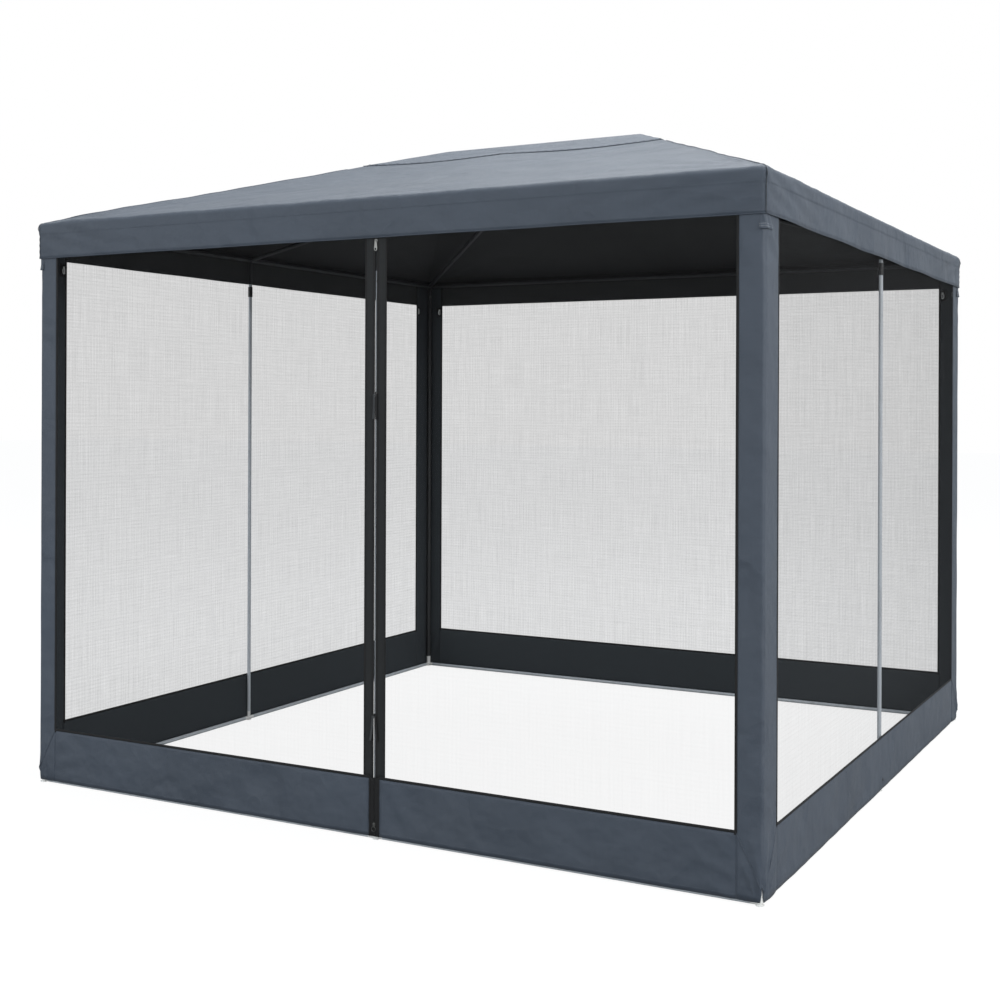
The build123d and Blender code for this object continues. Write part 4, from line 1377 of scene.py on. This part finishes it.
def makeTabs():
    grids, stitches = [], []
    radius, out, rows = trimLook["tabRadius"], tabHigh.x, 14
    for sx, sy in corners.values():
        front, side = trimLook["tabFront"], trimLook["tabSide"]
        stops = [(out - front + (front - radius) * i / 4, out, 0, 1) for i in range(5)]
        stops += turnStops(out, out, radius, 5)
        stops += [(out, out - radius - (side - radius) * i / 9, 1, 0) for i in range(10)]
        if sx * sy > 0:
            stops = stops[::-1]
        ways = [Vector((sx * nx, sy * ny, 0)) for x, y, nx, ny in stops]
        points = []
        for r in range(rows + 1):
            z = tabHigh.z + (tabLow.z - tabHigh.z) * r / rows
            line = []
            for k, (x, y, nx, ny) in enumerate(stops):
                spot = Vector((sx * x, sy * y, z))
                line.append(tabPoint(spot, ways[k], k / (len(stops) - 1), r / rows))
            points.append(line)
        grids.append((points, [[(k * 0.004, p.z) for k, p in enumerate(line)] for line in points]))
        for row in (12, 10):
            stitches.append([p + way * 0.0004 for p, way in zip(points[row], ways)])
    # painted shade: the tabs' inner faces take the darker wall colour
    cloth = ("slateCloth", "wallLining")
    item = addPiece(gridMesh("cornerTabs", grids), "frame", ("corner_tabs",), cloth)
    thicken(item, trimLook["tabThick"])
    makeRow("tabStitches", stitches, "frame", "cover_fabric", "whiteThread",
            pitch=0.0055, length=0.0036, **thread)


def makeHook(hooks, centre, across, inner):  # a half-flat loop and the strap that it is sewn on by
    wide, tall = trimLook["hookWide"] / 2, trimLook["hookTall"] / 2
    ring = []
    for i in range(28):
        t = 2 * math.pi * i / 28
        a, b = math.cos(t), math.sin(t)
        side = across * (wide * (a if a > 0 else max(a, trimLook["hookFlat"])))
        ring.append(centre + side + up * (tall * b * 0.8 - 0.003))
    sweep(hooks, ring, inner, roundSection(trimLook["hookWire"], 8), closedPath=True)
    strap = [centre + up * (tall * 0.62 + 0.001 * i) for i in range(8)]
    sweep(hooks, strap, inner, tapeSection(*trimLook["strap"]))


def makePatch(patches, centre, across, inner):  # the patch behind a hook; gives back its line of stitches
    half, tall = trimLook["patch"][0] / 2, trimLook["patch"][1] / 2
    back = centre - inner * (hookDeep + 0.00018)
    middle = across * trimLook["patchShift"]
    band = [back + middle + up * (tall - 2 * tall * i / 10) for i in range(11)]
    sweep(patches, band, inner, tapeSection(2 * half, trimLook["patchThick"]))
    line = []
    for a, b in ((-1, 1), (1, 1), (1, -1), (-1, -1), (-1, 1)):
        reach = across * (trimLook["patchShift"] + a * (half - trimLook["stitchInset"]))
        line.append(back + inner * 0.0003 + reach + up * (b * (tall - trimLook["stitchInset"])))
    return line


def makeHooks():
    hooks, patches, lines = bmesh.new(), bmesh.new(), []
    hookZ = (hookLow.z + hookHigh.z) / 2
    for corner, (sx, sy) in corners.items():
        low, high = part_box("corner_sleeve_" + corner)
        alongX, alongY = Vector((sx, 0, 0)), Vector((0, sy, 0))
        edgeX, edgeY = (low.x if sx > 0 else -high.x), (low.y if sy > 0 else -high.y)
        for across, inner, edge in ((alongX, -alongY, edgeX), (alongY, -alongX, edgeY)):
            flat = abs(hookHigh.x if inner.x else hookHigh.y)
            centre = across * (edge + trimLook["hookInset"]) - inner * (flat - hookDeep) + up * hookZ
            makeHook(hooks, centre, across, inner)
            lines.append(makePatch(patches, centre, across, inner))
    addPiece(finishMesh(hooks, "wallHooks"), "frame", ("wall_hooks",), ("whiteMoulding",))
    addPiece(finishMesh(patches, "hookPatches"), "frame", (), ("blackBinding",))
    makeRow("patchStitches", lines, "frame", "edge_fabric", "darkThread",
            pitch=0.006, length=0.004, width=0.0009, rise=0.0005)


makeTabs()
makeHooks()
print("tabs and hooks made")


# tubes, fittings and feet keep their shape and take a better finish

nodeFinish = {
    # painted shade: the tubes under the roof get the dark steel colour, while the mid posts and ground rails
    # get the grey one
    "corner_post": "tubeInShade", "mid_post": "greyTube", "eave_tubes": "tubeInShade", "ground_rail": "greyTube",
    "rafters": "tubeInShade", "ridge_tube": "tubeInShade",
    "corner_connectors": "darkFitting", "mid_tees": "darkFitting", "peak_hub": "darkFitting",
    "corner_feet": "whiteMoulding", "mid_feet": "whiteMoulding",
    "snap_button": "nickel", "post_ties": "blackMoulding",
}
for node, item in frame["nodes"].items():
    for start, finish in nodeFinish.items():
        if node.startswith(start):
            for slot in item.material_slots:
                slot.material = finishes[finish]
print("frame finished")
